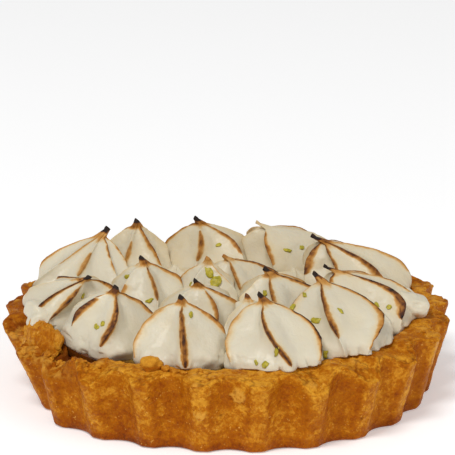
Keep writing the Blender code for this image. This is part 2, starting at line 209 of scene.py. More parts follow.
def squared_off(ball: Array, powers: Array | float) -> Array:
    """Returns a sphere's points with each coordinate raised to a power, which below 1 squares it off."""
    return np.sign(ball) * np.abs(ball) ** powers


def ringed_faces(levels: int, columns: int) -> tuple[Array, Array]:
    """Lists the faces of a closed skin: quads between rings, and triangles to a pole at each end.

    Args:
        levels: the number of rings.
        columns: the points of each ring.

    Returns:
        Quads and triangles. The poles are the two points after the rings.
    """
    level, column = np.meshgrid(np.arange(levels - 1), np.arange(columns), indexing="ij")
    beside = (column + 1) % columns
    low = level * columns
    high = low + columns
    quads = np.stack([low + column, low + beside, high + beside, high + column], axis=-1).reshape(-1, 4)
    ring = np.arange(columns)
    turned = np.roll(ring, -1)
    last = levels * columns
    top = last - columns
    below = np.stack([np.full(columns, last), turned, ring], axis=-1)
    above = np.stack([top + ring, top + turned, np.full(columns, last + 1)], axis=-1)
    return quads, np.concatenate([below, above])


def mesh_of(name: str, points: Array, quads: Array, triangles: Array) -> Mesh:
    """Makes a smooth mesh from whole arrays of points and faces.

    Args:
        name: the mesh's name.
        points: places, shape (n, 3).
        quads: the four points of each quad.
        triangles: the three points of each triangle.

    Returns:
        The mesh.
    """
    mesh = bpy.data.meshes.new(name)
    mesh.vertices.add(len(points))
    mesh.vertices.foreach_set("co", points.astype(np.float32).ravel())
    corners = np.concatenate([quads.ravel(), triangles.ravel()]).astype(np.int32)
    starts = np.concatenate([np.arange(len(quads)) * 4, len(quads) * 4 + np.arange(len(triangles)) * 3])
    mesh.loops.add(len(corners))
    mesh.loops.foreach_set("vertex_index", corners)
    mesh.polygons.add(len(starts))
    mesh.polygons.foreach_set("loop_start", starts.astype(np.int32))
    mesh.update(calc_edges=True)
    mesh.shade_smooth()
    return mesh


def closed_skin(name: str, rings: Array, bottom: Array, top: Array) -> Mesh:
    """Makes a closed mesh through rings of points, with a pole below the first and one above the last."""
    points = np.concatenate([rings.reshape(-1, 3), [bottom], [top]])
    return mesh_of(name, points, *ringed_faces(rings.shape[0], rings.shape[1]))


def paint(mesh: Mesh, name: str, values: Array, poles: tuple[float, ...] = ()) -> None:
    """Stores one value for each point of a mesh, those of its two poles last."""
    attribute = mesh.attributes.new(name, "FLOAT", "POINT")
    attribute.data.foreach_set("value", np.append(values.ravel(), poles).astype(np.float32))


def put_in_scene(name: str, data: ID) -> Object:
    """Makes an object for a mesh, a lamp or a camera in the scene."""
    made = bpy.data.objects.new(name, data)
    bpy.context.scene.collection.objects.link(made)
    return made


def show(
    name: str, mesh: Mesh, material: Material
) -> Object:
    """Puts a finished mesh in the scene, riding on the tart's one body.

    Args:
        name: the piece's name.
        mesh: its mesh.
        material: its finish.

    Returns:
        The piece.
    """
    mesh.materials.append(material)
    piece = put_in_scene(name, mesh)
    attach(piece, "root")
    log.info("%s: %d faces", name, len(mesh.polygons))
    return piece


@dataclass(frozen=True)
class Noise:
    """Random unevenness in space, with lumps of one size and some finer layers.

    Where upright is less than 1, the lumps are drawn out upwards by as much.
    """

    strength: float
    size: float
    seed: int
    octaves: int = 1
    upright: float = 1.0

    def at(self, points: Array) -> Array:
        """Returns the unevenness at each point: the strength times layered soft noise."""
        squeezed = points * [1.0, 1.0, self.upright]
        return self.strength * rough_noise(squeezed, self.size, self.seed, self.octaves)


def layered(layers: tuple[Noise, ...], points: Array) -> Array:
    """Returns the sum of some layers of unevenness at each point."""
    return sum(layer.at(points) for layer in layers)


@dataclass(frozen=True)
class Spots:
    """Scattered spots, one to a cell where its luck is high enough, and their fade from full to none."""

    cell: float
    seed: int
    fade: Span
    least_luck: float

    def at(self, points: Array) -> Array:
        """Returns 1 on a spot, easing to 0 beside it."""
        away, luck = nearest_spot(points, self.cell, self.seed)
        return (1.0 - eased(*self.fade, away)) * (luck > self.least_luck)


@dataclass(frozen=True)
class Stretch:
    """A stretch of the round: its middle and half width in degrees, and the share that is level."""

    middle: float
    half_width: float
    level: float = 0.65

    def at(self, bearings: Array) -> Array:
        """Returns 1 round the middle bearing, easing to 0 at the half width."""
        away = np.abs(np.remainder(bearings - math.radians(self.middle) + math.pi, TURN) - math.pi)
        return 1.0 - eased(self.level, 1.0, away / math.radians(self.half_width))


@dataclass(frozen=True)
class Cloud:
    """A noise pattern of a finish: its lumps, the span of noise that counts, and the values it becomes."""

    size: float
    detail: float
    roughness: float
    span: Span
    values: Span


class NodeKit:
    """Short ways to add and join the nodes of one material."""

    def __init__(self, name: str) -> None:
        """Starts a material with its Principled shader."""
        self.material = bpy.data.materials.new(name)
        self.material.use_nodes = True
        self.nodes = self.material.node_tree.nodes
        self.links = self.material.node_tree.links
        self.shader = self.nodes["Principled BSDF"]

    def add(self, kind: str, **settings: object) -> Node:
        """Adds a node and gives it the settings of the given names."""
        node = self.nodes.new(kind)
        for name, value in settings.items():
            setattr(node, name, value)
        return node

    def put(self, value: object, socket: NodeSocket) -> None:
        """Sets a socket to a value or a colour, or joins another to it."""
        if isinstance(value, NodeSocket):
            self.links.new(value, socket)
        elif socket.type == "RGBA":
            socket.default_value = (*value, 1.0)
        else:
            socket.default_value = value

    def place(self) -> NodeSocket:
        """Returns the point on the piece, in metres."""
        return self.add("ShaderNodeTexCoord").outputs["Object"]

    def attribute(self, name: str) -> NodeSocket:
        """Returns a value painted on the mesh."""
        return self.add("ShaderNodeAttribute", attribute_name=name).outputs["Fac"]

    def noise(self, size: float, detail: float = 3.0, roughness: float = 0.55) -> NodeSocket:
        """Returns noise whose lumps have the given size in metres."""
        node = self.add("ShaderNodeTexNoise")
        self.put(1.0 / size, node.inputs["Scale"])
        self.put(detail, node.inputs["Detail"])
        self.put(roughness, node.inputs["Roughness"])
        self.put(self.place(), node.inputs["Vector"])
        return node.outputs["Fac"]

    def cloud(self, cloud: Cloud) -> NodeSocket:
        """Returns a noise pattern, spread over its span of values."""
        return self.spread(self.noise(cloud.size, cloud.detail, cloud.roughness), cloud.span, cloud.values)

    def cells(self, size: float) -> NodeSocket:
        """Gives each of many small cells one random value, and bends the cells by noise.

        Args:
            size: side of a cell.

        Returns:
            The value.
        """
        finer, bending = 1.4, 0.9
        bend = self.add("ShaderNodeVectorMath", operation="SCALE")
        wave = self.add("ShaderNodeTexNoise")
        self.put(finer / size, wave.inputs["Scale"])
        self.put(self.place(), wave.inputs["Vector"])
        self.put(wave.outputs["Color"], bend.inputs[0])
        self.put(bending * size, bend.inputs["Scale"])
        total = self.add("ShaderNodeVectorMath", operation="ADD")
        self.put(self.place(), total.inputs[0])
        self.put(bend.outputs[0], total.inputs[1])
        node = self.add("ShaderNodeTexVoronoi")
        self.put(1.0 / size, node.inputs["Scale"])
        self.put(total.outputs[0], node.inputs["Vector"])
        apart = self.add("ShaderNodeSeparateColor")
        self.put(node.outputs["Color"], apart.inputs[0])
        return apart.outputs[0]

    def radius(self) -> NodeSocket:
        """Returns the distance from the upright axis, in metres."""
        flat = self.add("ShaderNodeVectorMath", operation="MULTIPLY")
        self.put(self.place(), flat.inputs[0])
        self.put((1.0, 1.0, 0.0), flat.inputs[1])
        length = self.add("ShaderNodeVectorMath", operation="LENGTH")
        self.put(flat.outputs[0], length.inputs[0])
        return length.outputs["Value"]

    def math(self, operation: str, first: object, second: object) -> NodeSocket:
        """Returns the result of one sum on two values."""
        node = self.add("ShaderNodeMath", operation=operation)
        self.put(first, node.inputs[0])
        self.put(second, node.inputs[1])
        return node.outputs[0]

    def spread(self, value: object, span: Span, values: Span) -> NodeSocket:
        """Returns a value moved from one span to another, and held inside it."""
        node = self.add("ShaderNodeMapRange", clamp=True)
        self.put(value, node.inputs["Value"])
        for name, limit in zip(("From Min", "From Max", "To Min", "To Max"), (*span, *values)):
            self.put(limit, node.inputs[name])
        return node.outputs["Result"]

    def ramp(self, value: object, *stops: tuple[float, Colour]) -> NodeSocket:
        """Reads a colour from a row of stops.

        Args:
            value: where to read.
            stops: a place and a colour each.

        Returns:
            The colour.
        """
        node = self.add("ShaderNodeValToRGB")
        self.put(value, node.inputs["Fac"])
        elements = node.color_ramp.elements
        while len(elements) < len(stops):
            elements.new(0.5)
        for element, (place, _) in zip(elements, stops):
            element.position = place
        for element, (_, colour) in zip(elements, stops):
            element.color = (*colour, 1.0)
        return node.outputs["Color"]

    def mix(self, share: object, first: object, second: object) -> NodeSocket:
        """Returns a blend of two colours."""
        node = self.add("ShaderNodeMix", data_type="RGBA")
        self.put(share, node.inputs["Factor"])
        for value, socket in ((first, node.inputs[6]), (second, node.inputs[7])):
            self.put(value, socket)
        return node.outputs[2]

    def bump(self, height: object, distance: float) -> None:
        """Raises fine relief of the given depth on the shader's normal."""
        node = self.add("ShaderNodeBump")
        self.put(distance, node.inputs["Distance"])
        self.put(1.0, node.inputs["Strength"])
        self.put(height, node.inputs["Height"])
        self.put(node.outputs["Normal"], self.shader.inputs["Normal"])

    def glow(self, share: object, reach: float, tint: Colour) -> None:
        """Lets light into the surface."""
        self.set(Subsurface_Weight=share, Subsurface_Scale=reach, Subsurface_Radius=tint)

    def set(self, **values: object) -> None:
        """Sets or joins the shader's own sockets, named with underscores."""
        for name, value in values.items():
            self.put(value, self.shader.inputs[name.replace("_", " ")])


@dataclass(frozen=True)
class Shortcrust:
    """Baked pastry: golden on the ridges and deeper in the scallops as painted light and shade, dark in its
    pits as painted shade, with pale glints as painted highlights.
    """

    name: str = "baked_shortcrust"
    pale: Colour = (0.76, 0.34, 0.025)
    golden: Colour = (0.465, 0.138, 0.001)
    brown: Colour = (0.32, 0.070, 0.0003)
    # dark is the darkest brown, and also the colour of the painted shade in the dips
    dark: Colour = (0.13, 0.022, 0.001)
    crumb: Colour = (0.72, 0.33, 0.040)
    # fleck is the pale colour of the glints: painted highlights on the crust's grains
    fleck: Colour = (0.82, 0.44, 0.09)
    specular: float = 0.08
    places: tuple[float, ...] = (0.0, 0.3, 0.62, 1.0)
    mottle: Cloud = Cloud(2.6 * MM, 3.0, 0.5, (0.3, 0.7), (-0.10, 0.10))
    speck: Cloud = Cloud(0.65 * MM, 4.0, 0.75, (0.34, 0.66), (-0.12, 0.12))
    chunk_size: float = 1.1 * MM
    chunk_values: Span = (-0.10, 0.10)
    crumb_size: float = 0.9 * MM
    crumb_span: Span = (0.30, 0.50)
    # the two clouds below place the pale glints, painted highlights
    glint_grain: Cloud = Cloud(0.55 * MM, 2.0, 0.6, (0.62, 0.67), (0.0, 0.75))
    glint_patch: Cloud = Cloud(2.0 * MM, 2.0, 0.55, (0.57, 0.62), (0.0, 1.0))
    gloss: Cloud = Cloud(1.4 * MM, 3.0, 0.55, (0.35, 0.65), (0.36, 0.62))
    fine_size: float = 0.5 * MM
    coarse_size: float = 1.3 * MM
    coarse_share: float = 1.5
    flake_size: float = 0.8 * MM
    flake_share: float = 0.35
    depth: float = 0.26 * MM

    def material(self) -> Material:
        """Builds the material from the painted values of how brown and how shaded it is, of crumb and of pit
        shade, and noise.
        """
        kit = NodeKit(self.name)
        mottle = kit.cloud(self.mottle)
        speck = kit.cloud(self.speck)
        chunk = kit.spread(kit.cells(self.chunk_size), (0.0, 1.0), self.chunk_values)
        uneven = kit.math("ADD", mottle, kit.math("ADD", speck, chunk))
        shade = kit.math("ADD", kit.attribute("browning_and_shade"), uneven)
        skin = kit.ramp(shade, *zip(self.places, (self.pale, self.golden, self.brown, self.dark)))
        grain = kit.noise(self.crumb_size, 4.0, 0.7)
        inner = kit.ramp(grain, *zip(self.crumb_span, (self.golden, self.crumb)))
        open_crumb = kit.mix(kit.attribute("crumb"), skin, inner)
        # painted highlights: sparse pale glints, a fine cloud times a patchy one, mixed into the colour
        flecks = kit.math("MULTIPLY", kit.cloud(self.glint_grain), kit.cloud(self.glint_patch))
        glinted = kit.mix(flecks, open_crumb, self.fleck)
        # painted shade: pits, clefts, seams and the hollow are mixed towards dark
        pit_shaded = kit.mix(kit.attribute("pit"), glinted, self.dark)
        kit.set(Base_Color=pit_shaded, Roughness=kit.cloud(self.gloss), Specular_IOR_Level=self.specular)
        fine = kit.noise(self.fine_size, 4.0, 0.7)
        coarse = kit.math("MULTIPLY", kit.noise(self.coarse_size), self.coarse_share)
        relief = kit.math("ADD", fine, coarse)
        flaky = kit.math("MULTIPLY", kit.cells(self.flake_size), self.flake_share)
        kit.bump(kit.math("ADD", relief, flaky), self.depth)
        return kit.material


@dataclass(frozen=True)
class LemonCurd:
    """Set lemon filling: glossy, its colour darkened to a deep yellow-brown as painted shade of the kisses.
    """

    name: str = "set_lemon_curd"
    # light and deep are curd colours darkened as painted shade of the kisses above
    light: Colour = (0.40, 0.24, 0.030)
    deep: Colour = (0.24, 0.11, 0.010)
    # the darker edge colour: partly browned curd, partly painted shade in the gap by the rim
    browned_and_shaded: Colour = (0.13, 0.036, 0.004)
    browned_and_shaded_radii: Span = (37.0 * MM, 39.5 * MM)
    cloudy: Cloud = Cloud(3.5 * MM, 3.0, 0.55, (0.35, 0.65), (0.0, 1.0))
    roughness: float = 0.22
    glow: float = 0.3
    glow_reach: float = 2.0 * MM
    glow_tint: Colour = (1.0, 0.7, 0.2)
    coat: float = 0.4
    coat_roughness: float = 0.12
    wave_size: float = 1.6 * MM
    wave_depth: float = 0.08 * MM

    def material(self) -> Material:
        """Builds the material with cloudy colour, darker towards its edge as browned curd and painted shade,
        and a faintly uneven skin.
        """
        kit = NodeKit(self.name)
        cloud = kit.cloud(self.cloudy)
        # darker towards the edge: partly browned curd, partly painted shade
        edge = kit.spread(kit.radius(), self.browned_and_shaded_radii, (0.0, 1.0))
        curd = kit.mix(cloud, self.light, self.deep)
        kit.set(Base_Color=kit.mix(edge, curd, self.browned_and_shaded), Roughness=self.roughness)
        kit.glow(self.glow, self.glow_reach, self.glow_tint)
        kit.set(Coat_Weight=self.coat, Coat_Roughness=self.coat_roughness)
        kit.bump(kit.noise(self.wave_size), self.wave_depth)
        return kit.material


@dataclass(frozen=True)
class ToastedMeringue:
    """Soft white meringue that the torch has turned tan, brown and black along its ribs and tips.

    Each colour has its place on the toast value, by which the skin is also duller and more blistered.
    """

    name: str = "toasted_meringue"
    white: Colour = (0.705, 0.638, 0.488)
    cream: Colour = (0.70, 0.57, 0.35)
    tan: Colour = (0.60, 0.31, 0.080)
    brown: Colour = (0.42, 0.165, 0.022)
    burnt: Colour = (0.12, 0.034, 0.007)
    char: Colour = (0.020, 0.010, 0.006)
    places: tuple[float, ...] = (0.0, 0.13, 0.30, 0.50, 0.74, 0.92)
    mottle: Cloud = Cloud(0.9 * MM, 4.0, 0.65, (0.3, 0.7), (0.88, 1.12))
    specular: float = 0.28
    dull_span: Span = (0.1, 0.7)
    roughness: Span = (0.33, 0.63)
    glow_span: Span = (0.05, 0.3)
    glow: Span = (0.18, 0.0)
    glow_reach: float = 1.0 * MM
    glow_tint: Colour = (1.0, 0.75, 0.5)
    blister_size: float = 0.5 * MM
    blister_span: Span = (0.15, 0.6)
    blisters: Span = (0.25, 1.6)
    fold_size: float = 1.8 * MM
    fold_share: float = 1.4
    depth: float = 0.16 * MM

    def material(self) -> Material:
        """Builds the material: the painted toast value is mottled, then read as a colour."""
        kit = NodeKit(self.name)
        toast = kit.attribute("toast")
        shade = kit.math("MULTIPLY", toast, kit.cloud(self.mottle))
        colours = (self.white, self.cream, self.tan, self.brown, self.burnt, self.char)
        kit.set(Base_Color=kit.ramp(shade, *zip(self.places, colours)))
        kit.set(Roughness=kit.spread(toast, self.dull_span, self.roughness), Specular_IOR_Level=self.specular)
        kit.glow(kit.spread(toast, self.glow_span, self.glow), self.glow_reach, self.glow_tint)
        bubbles = kit.noise(self.blister_size, 4.0, 0.6)
        blister = kit.math("MULTIPLY", bubbles, kit.spread(toast, self.blister_span, self.blisters))
        folds = kit.math("MULTIPLY", kit.noise(self.fold_size), self.fold_share)
        kit.bump(kit.math("ADD", blister, folds), self.depth)
        return kit.material


@dataclass(frozen=True)
class CitrusZest:
    """Grated zest: yellow-green and a little waxy, paler where the pith shows."""

    name: str = "citrus_zest"
    green: Colour = (0.31, 0.27, 0.008)
    yellow: Colour = (0.56, 0.45, 0.030)
    patches: Cloud = Cloud(0.8 * MM, 3.0, 0.55, (0.35, 0.65), (0.0, 1.0))
    roughness: float = 0.45
    glow: float = 0.2
    glow_reach: float = 0.5 * MM
    glow_tint: Colour = (1.0, 1.0, 0.3)
    pore_size: float = 0.3 * MM
    pore_depth: float = 0.05 * MM

    def material(self) -> Material:
        """Builds the material as a mix of the two colours by noise."""
        kit = NodeKit(self.name)
        skin = kit.mix(kit.cloud(self.patches), self.green, self.yellow)
        kit.set(Base_Color=skin, Roughness=self.roughness)
        kit.glow(self.glow, self.glow_reach, self.glow_tint)
        kit.bump(kit.noise(self.pore_size), self.pore_depth)
        return kit.material


@dataclass(frozen=True)
class StudioPaper:
    """The pale floor."""

    name: str = "studio_paper"
    colour: Colour = (0.93, 0.93, 0.93)
    glow: float = 0.30
    roughness: float = 0.9
    grain_size: float = 4.0 * MM
    grain_depth: float = 0.02 * MM

    def material(self) -> Material:
        """Builds a matt white with hardly visible grain."""
        kit = NodeKit(self.name)
        kit.set(Base_Color=self.colour, Roughness=self.roughness)
        kit.set(Emission_Color=self.colour, Emission_Strength=self.glow)
        kit.bump(kit.noise(self.grain_size), self.grain_depth)
        return kit.material


class Zone(Enum):
    """The stretches of the case's section, from the middle of the underside round to the floor.

    The value of each is its number of levels, and as no two are alike, it also marks them.
    """

    UNDERSIDE = 4
    BASE_EDGE = 5
    WALL = 37
    RIM_EDGE = 8
    RIM = 26
    INNER_EDGE = 6
    FLOOR = 2

    def share(self) -> Array:
        """Returns even shares up to 1 for its levels, as a column."""
        return np.linspace(0.0, 1.0, self.value + 1)[1:, None]


@dataclass(frozen=True)
class CaseGrid:
    """The case's points, shape (levels, columns, 3), and each level's zone number."""

    points: Array
    zones: Array

    def within(self, *zones: Zone) -> Array:
        """Returns whether each level is in one of the zones."""
        return np.isin(self.zones, [zone.value for zone in zones])[:, None]

    def on_rim(self) -> Array:
        """Returns whether each level is on the rim or one of its edges."""
        return self.within(Zone.RIM_EDGE, Zone.RIM, Zone.INNER_EDGE)


@dataclass(frozen=True)
class CaseOutline:
    """The case's main radii and heights at every bearing."""

    base_out: Array
    rim_out: Array
    rim_edge: Array
    rim_middle: Array
    inner: Array
    inner_edge: Array


@dataclass(frozen=True)
class PastryCase:
    """The fluted case, as uneven as it came from the oven, with its rim broken at the front left."""

    columns: int = 1056
    rim_radius: float = 50.5 * MM
    base_radius: float = 46.0 * MM
    height: float = 17.6 * MM
    floor_thickness: float = 3.5 * MM
    rim_inner_radius: float = 41.0 * MM
    rim_inner_drop: float = 0.4 * MM
    floor_inner_radius: float = 38.5 * MM
    brim_radius: float = 40.7 * MM
    filling_top: float = 15.9 * MM
    edge_round: float = 0.9 * MM
    rim_edge_round: float = 0.65 * MM
    flutes: int = 24
    first_ridge: float = math.radians(-6.8)
    rim_flute_depth: float = 3.7 * MM
    base_flute_depth: float = 1.8 * MM
    ridge_half_width: float = 0.13
    scallop_power: float = 0.8
    scallop_wear: float = 0.022
    rim_wear: float = 0.055
    slump: float = 0.7 * MM
    slump_bearing: float = math.radians(35.0)
    sag_least: float = 0.7 * MM
    sag_most: float = 3.2 * MM
    sags: tuple[Stretch, ...] = (Stretch(33.0, 32.0, 0.3), Stretch(-45.0, 32.0, 0.3))
    middle_sag: float = 0.35
    roughness: float = 0.22 * MM
    rough_counts: tuple[int, ...] = (7, 13, 31, 43)
    uneven_counts: tuple[int, ...] = (3, 5, 11, 37)
    seed: int = 11
    broken: Stretch = Stretch(-64.0, 21.0)
    break_depth: float = 2.6 * MM
    break_middle_depth: float = 2.7 * MM
    break_inner_depth: float = 1.3 * MM
    break_roughness: float = 2.0
    break_setback: float = 1.4 * MM
    foot: Stretch = Stretch(-80.0, 28.0)
    foot_setback: float = 2.8 * MM
    shard: Stretch = Stretch(-70.0, 15.0)
    shard_rise: float = 0.7 * MM
    shard_lean: float = 0.3 * MM

    def bearings(self) -> Array:
        """Returns the bearing of every column."""
        return np.arange(self.columns) * TURN / self.columns

    def rim_waves(self, bearings: Array) -> tuple[Array, Array]:
        """Returns the two random waves that make the rim uneven."""
        rough = closed_wave(bearings, self.roughness, self.rough_counts, self.seed)
        return rough, closed_wave(bearings, self.roughness, self.uneven_counts, self.seed + 1)

    def from_ridge(self, bearings: Array) -> Array:
        """Returns how far the nearest ridge is, as a share of a flute."""
        phase = (bearings - self.first_ridge) * self.flutes / TURN
        return np.abs(np.remainder(phase + 0.5, 1.0) - 0.5)

    def worn(self, scallops: Array, wear: float) -> Array:
        """Returns the scallops rounded off over a share of a flute."""
        return softened(scallops, self.columns / self.flutes * wear)

    def scallops(self) -> Array:
        """Returns 0 on the ridges and 1 in the scallops: a quarter sine from ridge to middle, softened."""
        away = self.from_ridge(self.bearings())
        share = np.clip((away - self.ridge_half_width) / (0.5 - self.ridge_half_width), 0.0, 1.0)
        return self.worn(np.sin(share * math.pi / 2.0) ** self.scallop_power, self.scallop_wear)

    def outline(self) -> CaseOutline:
        """Works out the section's main sizes: the ridges sag, and the break is lower and set back.

        Returns:
            The radii and heights.
        """
        b = self.bearings()
        scallop = self.scallops()
        broken, shard = self.broken.at(b), self.shard.at(b)
        rough, uneven = self.rim_waves(b)
        slump = self.slump * np.cos(4.0 * (b - self.slump_bearing))
        rim_out = self.rim_radius + slump - self.worn(scallop, self.rim_wear) * self.rim_flute_depth
        base_out = self.base_radius + slump - scallop * self.base_flute_depth
        sagging = sum(sag.at(b) for sag in self.sags)
        sag = (self.sag_least + (self.sag_most - self.sag_least) * sagging) * (1.0 - scallop)
        crumbly = 1.0 + self.break_roughness * broken
        middle = self.height - self.middle_sag * sag - broken * self.break_middle_depth
        inner_edge = self.height - self.rim_inner_drop - broken * self.break_inner_depth
        return CaseOutline(
            base_out=base_out - self.foot.at(b) * self.foot_setback,
            rim_out=rim_out + uneven * scallop - broken * self.break_setback,
            rim_edge=self.height - sag - broken * self.break_depth + rough * crumbly,
            rim_middle=middle + uneven * crumbly,
            inner=self.rim_inner_radius - shard * self.shard_lean,
            inner_edge=inner_edge + shard * self.shard_rise + rough)

    def grid(self) -> CaseGrid:
        """Works out the section at every bearing, as one grid.

        It runs outwards under the base, round its edge, straight up the leaning wall, round the rim's
        edge, inwards across the rim as a parabola through its middle, and down inside.

        Returns:
            The grid.
        """
        line = self.outline()
        neck = line.rim_edge - self.rim_edge_round
        lean = line.rim_out - line.base_out
        low = self.edge_round / self.height
        base_flat = line.base_out - self.edge_round
        rim_flat = line.rim_out - self.rim_edge_round
        base_turn = Zone.BASE_EDGE.share() * math.pi / 2.0
        rim_turn = Zone.RIM_EDGE.share() * math.pi / 2.0
        up, across = Zone.WALL.share(), Zone.RIM.share()
        inwards, down = Zone.INNER_EDGE.share(), Zone.FLOOR.share()
        bow = line.rim_middle - 0.5 * (line.rim_edge + line.inner_edge)
        arch = 4.0 * bow * across * (1.0 - across)
        parts = {
            Zone.UNDERSIDE: (Zone.UNDERSIDE.share() * base_flat, 0.0),
            Zone.BASE_EDGE: (
                base_flat + (lean * low + self.edge_round) * np.sin(base_turn),
                self.edge_round * (1.0 - np.cos(base_turn))),
            Zone.WALL: (
                line.base_out + lean * (low + (1.0 - low) * up),
                self.edge_round + (neck - self.edge_round) * up),
            Zone.RIM_EDGE: (
                line.rim_out - self.rim_edge_round * (1.0 - np.cos(rim_turn)),
                neck + self.rim_edge_round * np.sin(rim_turn)),
            Zone.RIM: (
                rim_flat + (line.inner - rim_flat) * across,
                line.rim_edge + (line.inner_edge - line.rim_edge) * across + arch),
            Zone.INNER_EDGE: (
                line.inner + (self.brim_radius - line.inner) * inwards,
                line.inner_edge + (self.filling_top - line.inner_edge) * inwards),
            Zone.FLOOR: (
                self.brim_radius + (self.floor_inner_radius - self.brim_radius) * down,
                self.filling_top + (self.floor_thickness - self.filling_top) * down),
        }
        rings = [at_bearing(self.bearings(), radii, heights) for radii, heights in parts.values()]
        levels = [zone.value for zone in parts]
        return CaseGrid(np.concatenate(rings), np.repeat(levels, levels))


@dataclass(frozen=True)
class BakeAndShadeTones:
    """How brown each part of the case is, from 0 for pale to 1 for dark, with painted shade and painted light
    mixed in.

    Spans without MM are shares of the case's height, and that of the neck of the way up the wall.
    """

    wall: float = 0.27
    # scallop, crease and under_rim add painted shade in the scallops, in the creases beside the ridges and
    # under the rim; ridge_fade is painted light up the ridges
    scallop: float = 0.11
    ridge_fade: float = 0.09
    crease: float = 0.15
    crease_place: float = 0.055
    crease_width: float = 0.045
    crease_span: Span = (0.05, 0.5)
    under_rim: float = 0.04
    under_rim_span: Span = (0.60, 0.80)
    foot: float = 0.32
    foot_span: Span = (0.02, 0.22)
    rim: float = 0.13
    rim_away_from_front: float = 0.13
    front: Stretch = Stretch(0.0, 48.0, 0.5)
    neck: float = 0.06
    neck_share: float = 0.75
    neck_span: Span = (0.88, 1.0)
    broken: float = 0.22
    broken_span: Span = (12.0 * MM, 13.5 * MM)
    left_rim: float = 0.26
    left: Stretch = Stretch(-92.0, 22.0, 0.4)
    # inner_edge adds painted shade on the rim's inner edge, under the meringue
    inner_edge: float = 0.22
    patches: tuple[Noise, ...] = (Noise(0.13, 6.5 * MM, 51), Noise(0.14, 2.6 * MM, 53, 3))
    least: float = 0.02

    def wall_tone(self, case: PastryCase, height: Array) -> Array:
        """Works out the wall's tone: painted shade in the scallops, in the creases beside the ridges and in
        the scallops under the rim, painted light up the ridges, and darker towards the foot.

        Args:
            case: the case.
            height: heights as shares of the case's.

        Returns:
            The tones.
        """
        scallop = case.scallops()[None, :]
        away = case.from_ridge(case.bearings()[None, :]) - case.ridge_half_width - self.crease_place
        crease = np.exp(-((away / self.crease_width) ** 2)) * eased(*self.crease_span, height)
        # painted shade in the scallops, and painted light on the ridges towards the top
        tone = self.wall + self.scallop * scallop - self.ridge_fade * (1.0 - scallop) * height
        # painted shade in the creases beside the ridges and in the scallops under the rim
        tone = tone + self.crease * crease + self.under_rim * scallop * eased(*self.under_rim_span, height)
        return tone + self.foot * (1.0 - eased(*self.foot_span, height))

    def at(self, case: PastryCase, grid: CaseGrid) -> Array:
        """Works out how brown the whole skin is, with its painted shade and painted light.

        Args:
            case: the case.
            grid: its grid.

        Returns:
            The tones.
        """
        around, height, on_rim = bearings_of(grid.points), grid.points[..., 2], grid.on_rim()
        wall = self.wall_tone(case, height / case.height)
        rim = self.rim + self.rim_away_from_front * (1.0 - self.front.at(around))
        on_wall = grid.within(Zone.WALL)
        up_wall = np.where(on_wall, np.cumsum(on_wall)[:, None] / Zone.WALL.value, 0.0)
        neck = (rim + self.neck - wall) * self.neck_share * eased(*self.neck_span, up_wall)
        tone = np.where(on_rim, rim, wall + neck)
        tone = tone + self.broken * case.broken.at(around) * eased(*self.broken_span, height)
        tone = tone + self.left_rim * self.left.at(around) * on_rim
        # painted shade on the inner edge, under the meringue
        tone = tone + self.inner_edge * grid.within(Zone.INNER_EDGE)
        return np.clip(tone + layered(self.patches, grid.points), self.least, 1.0)


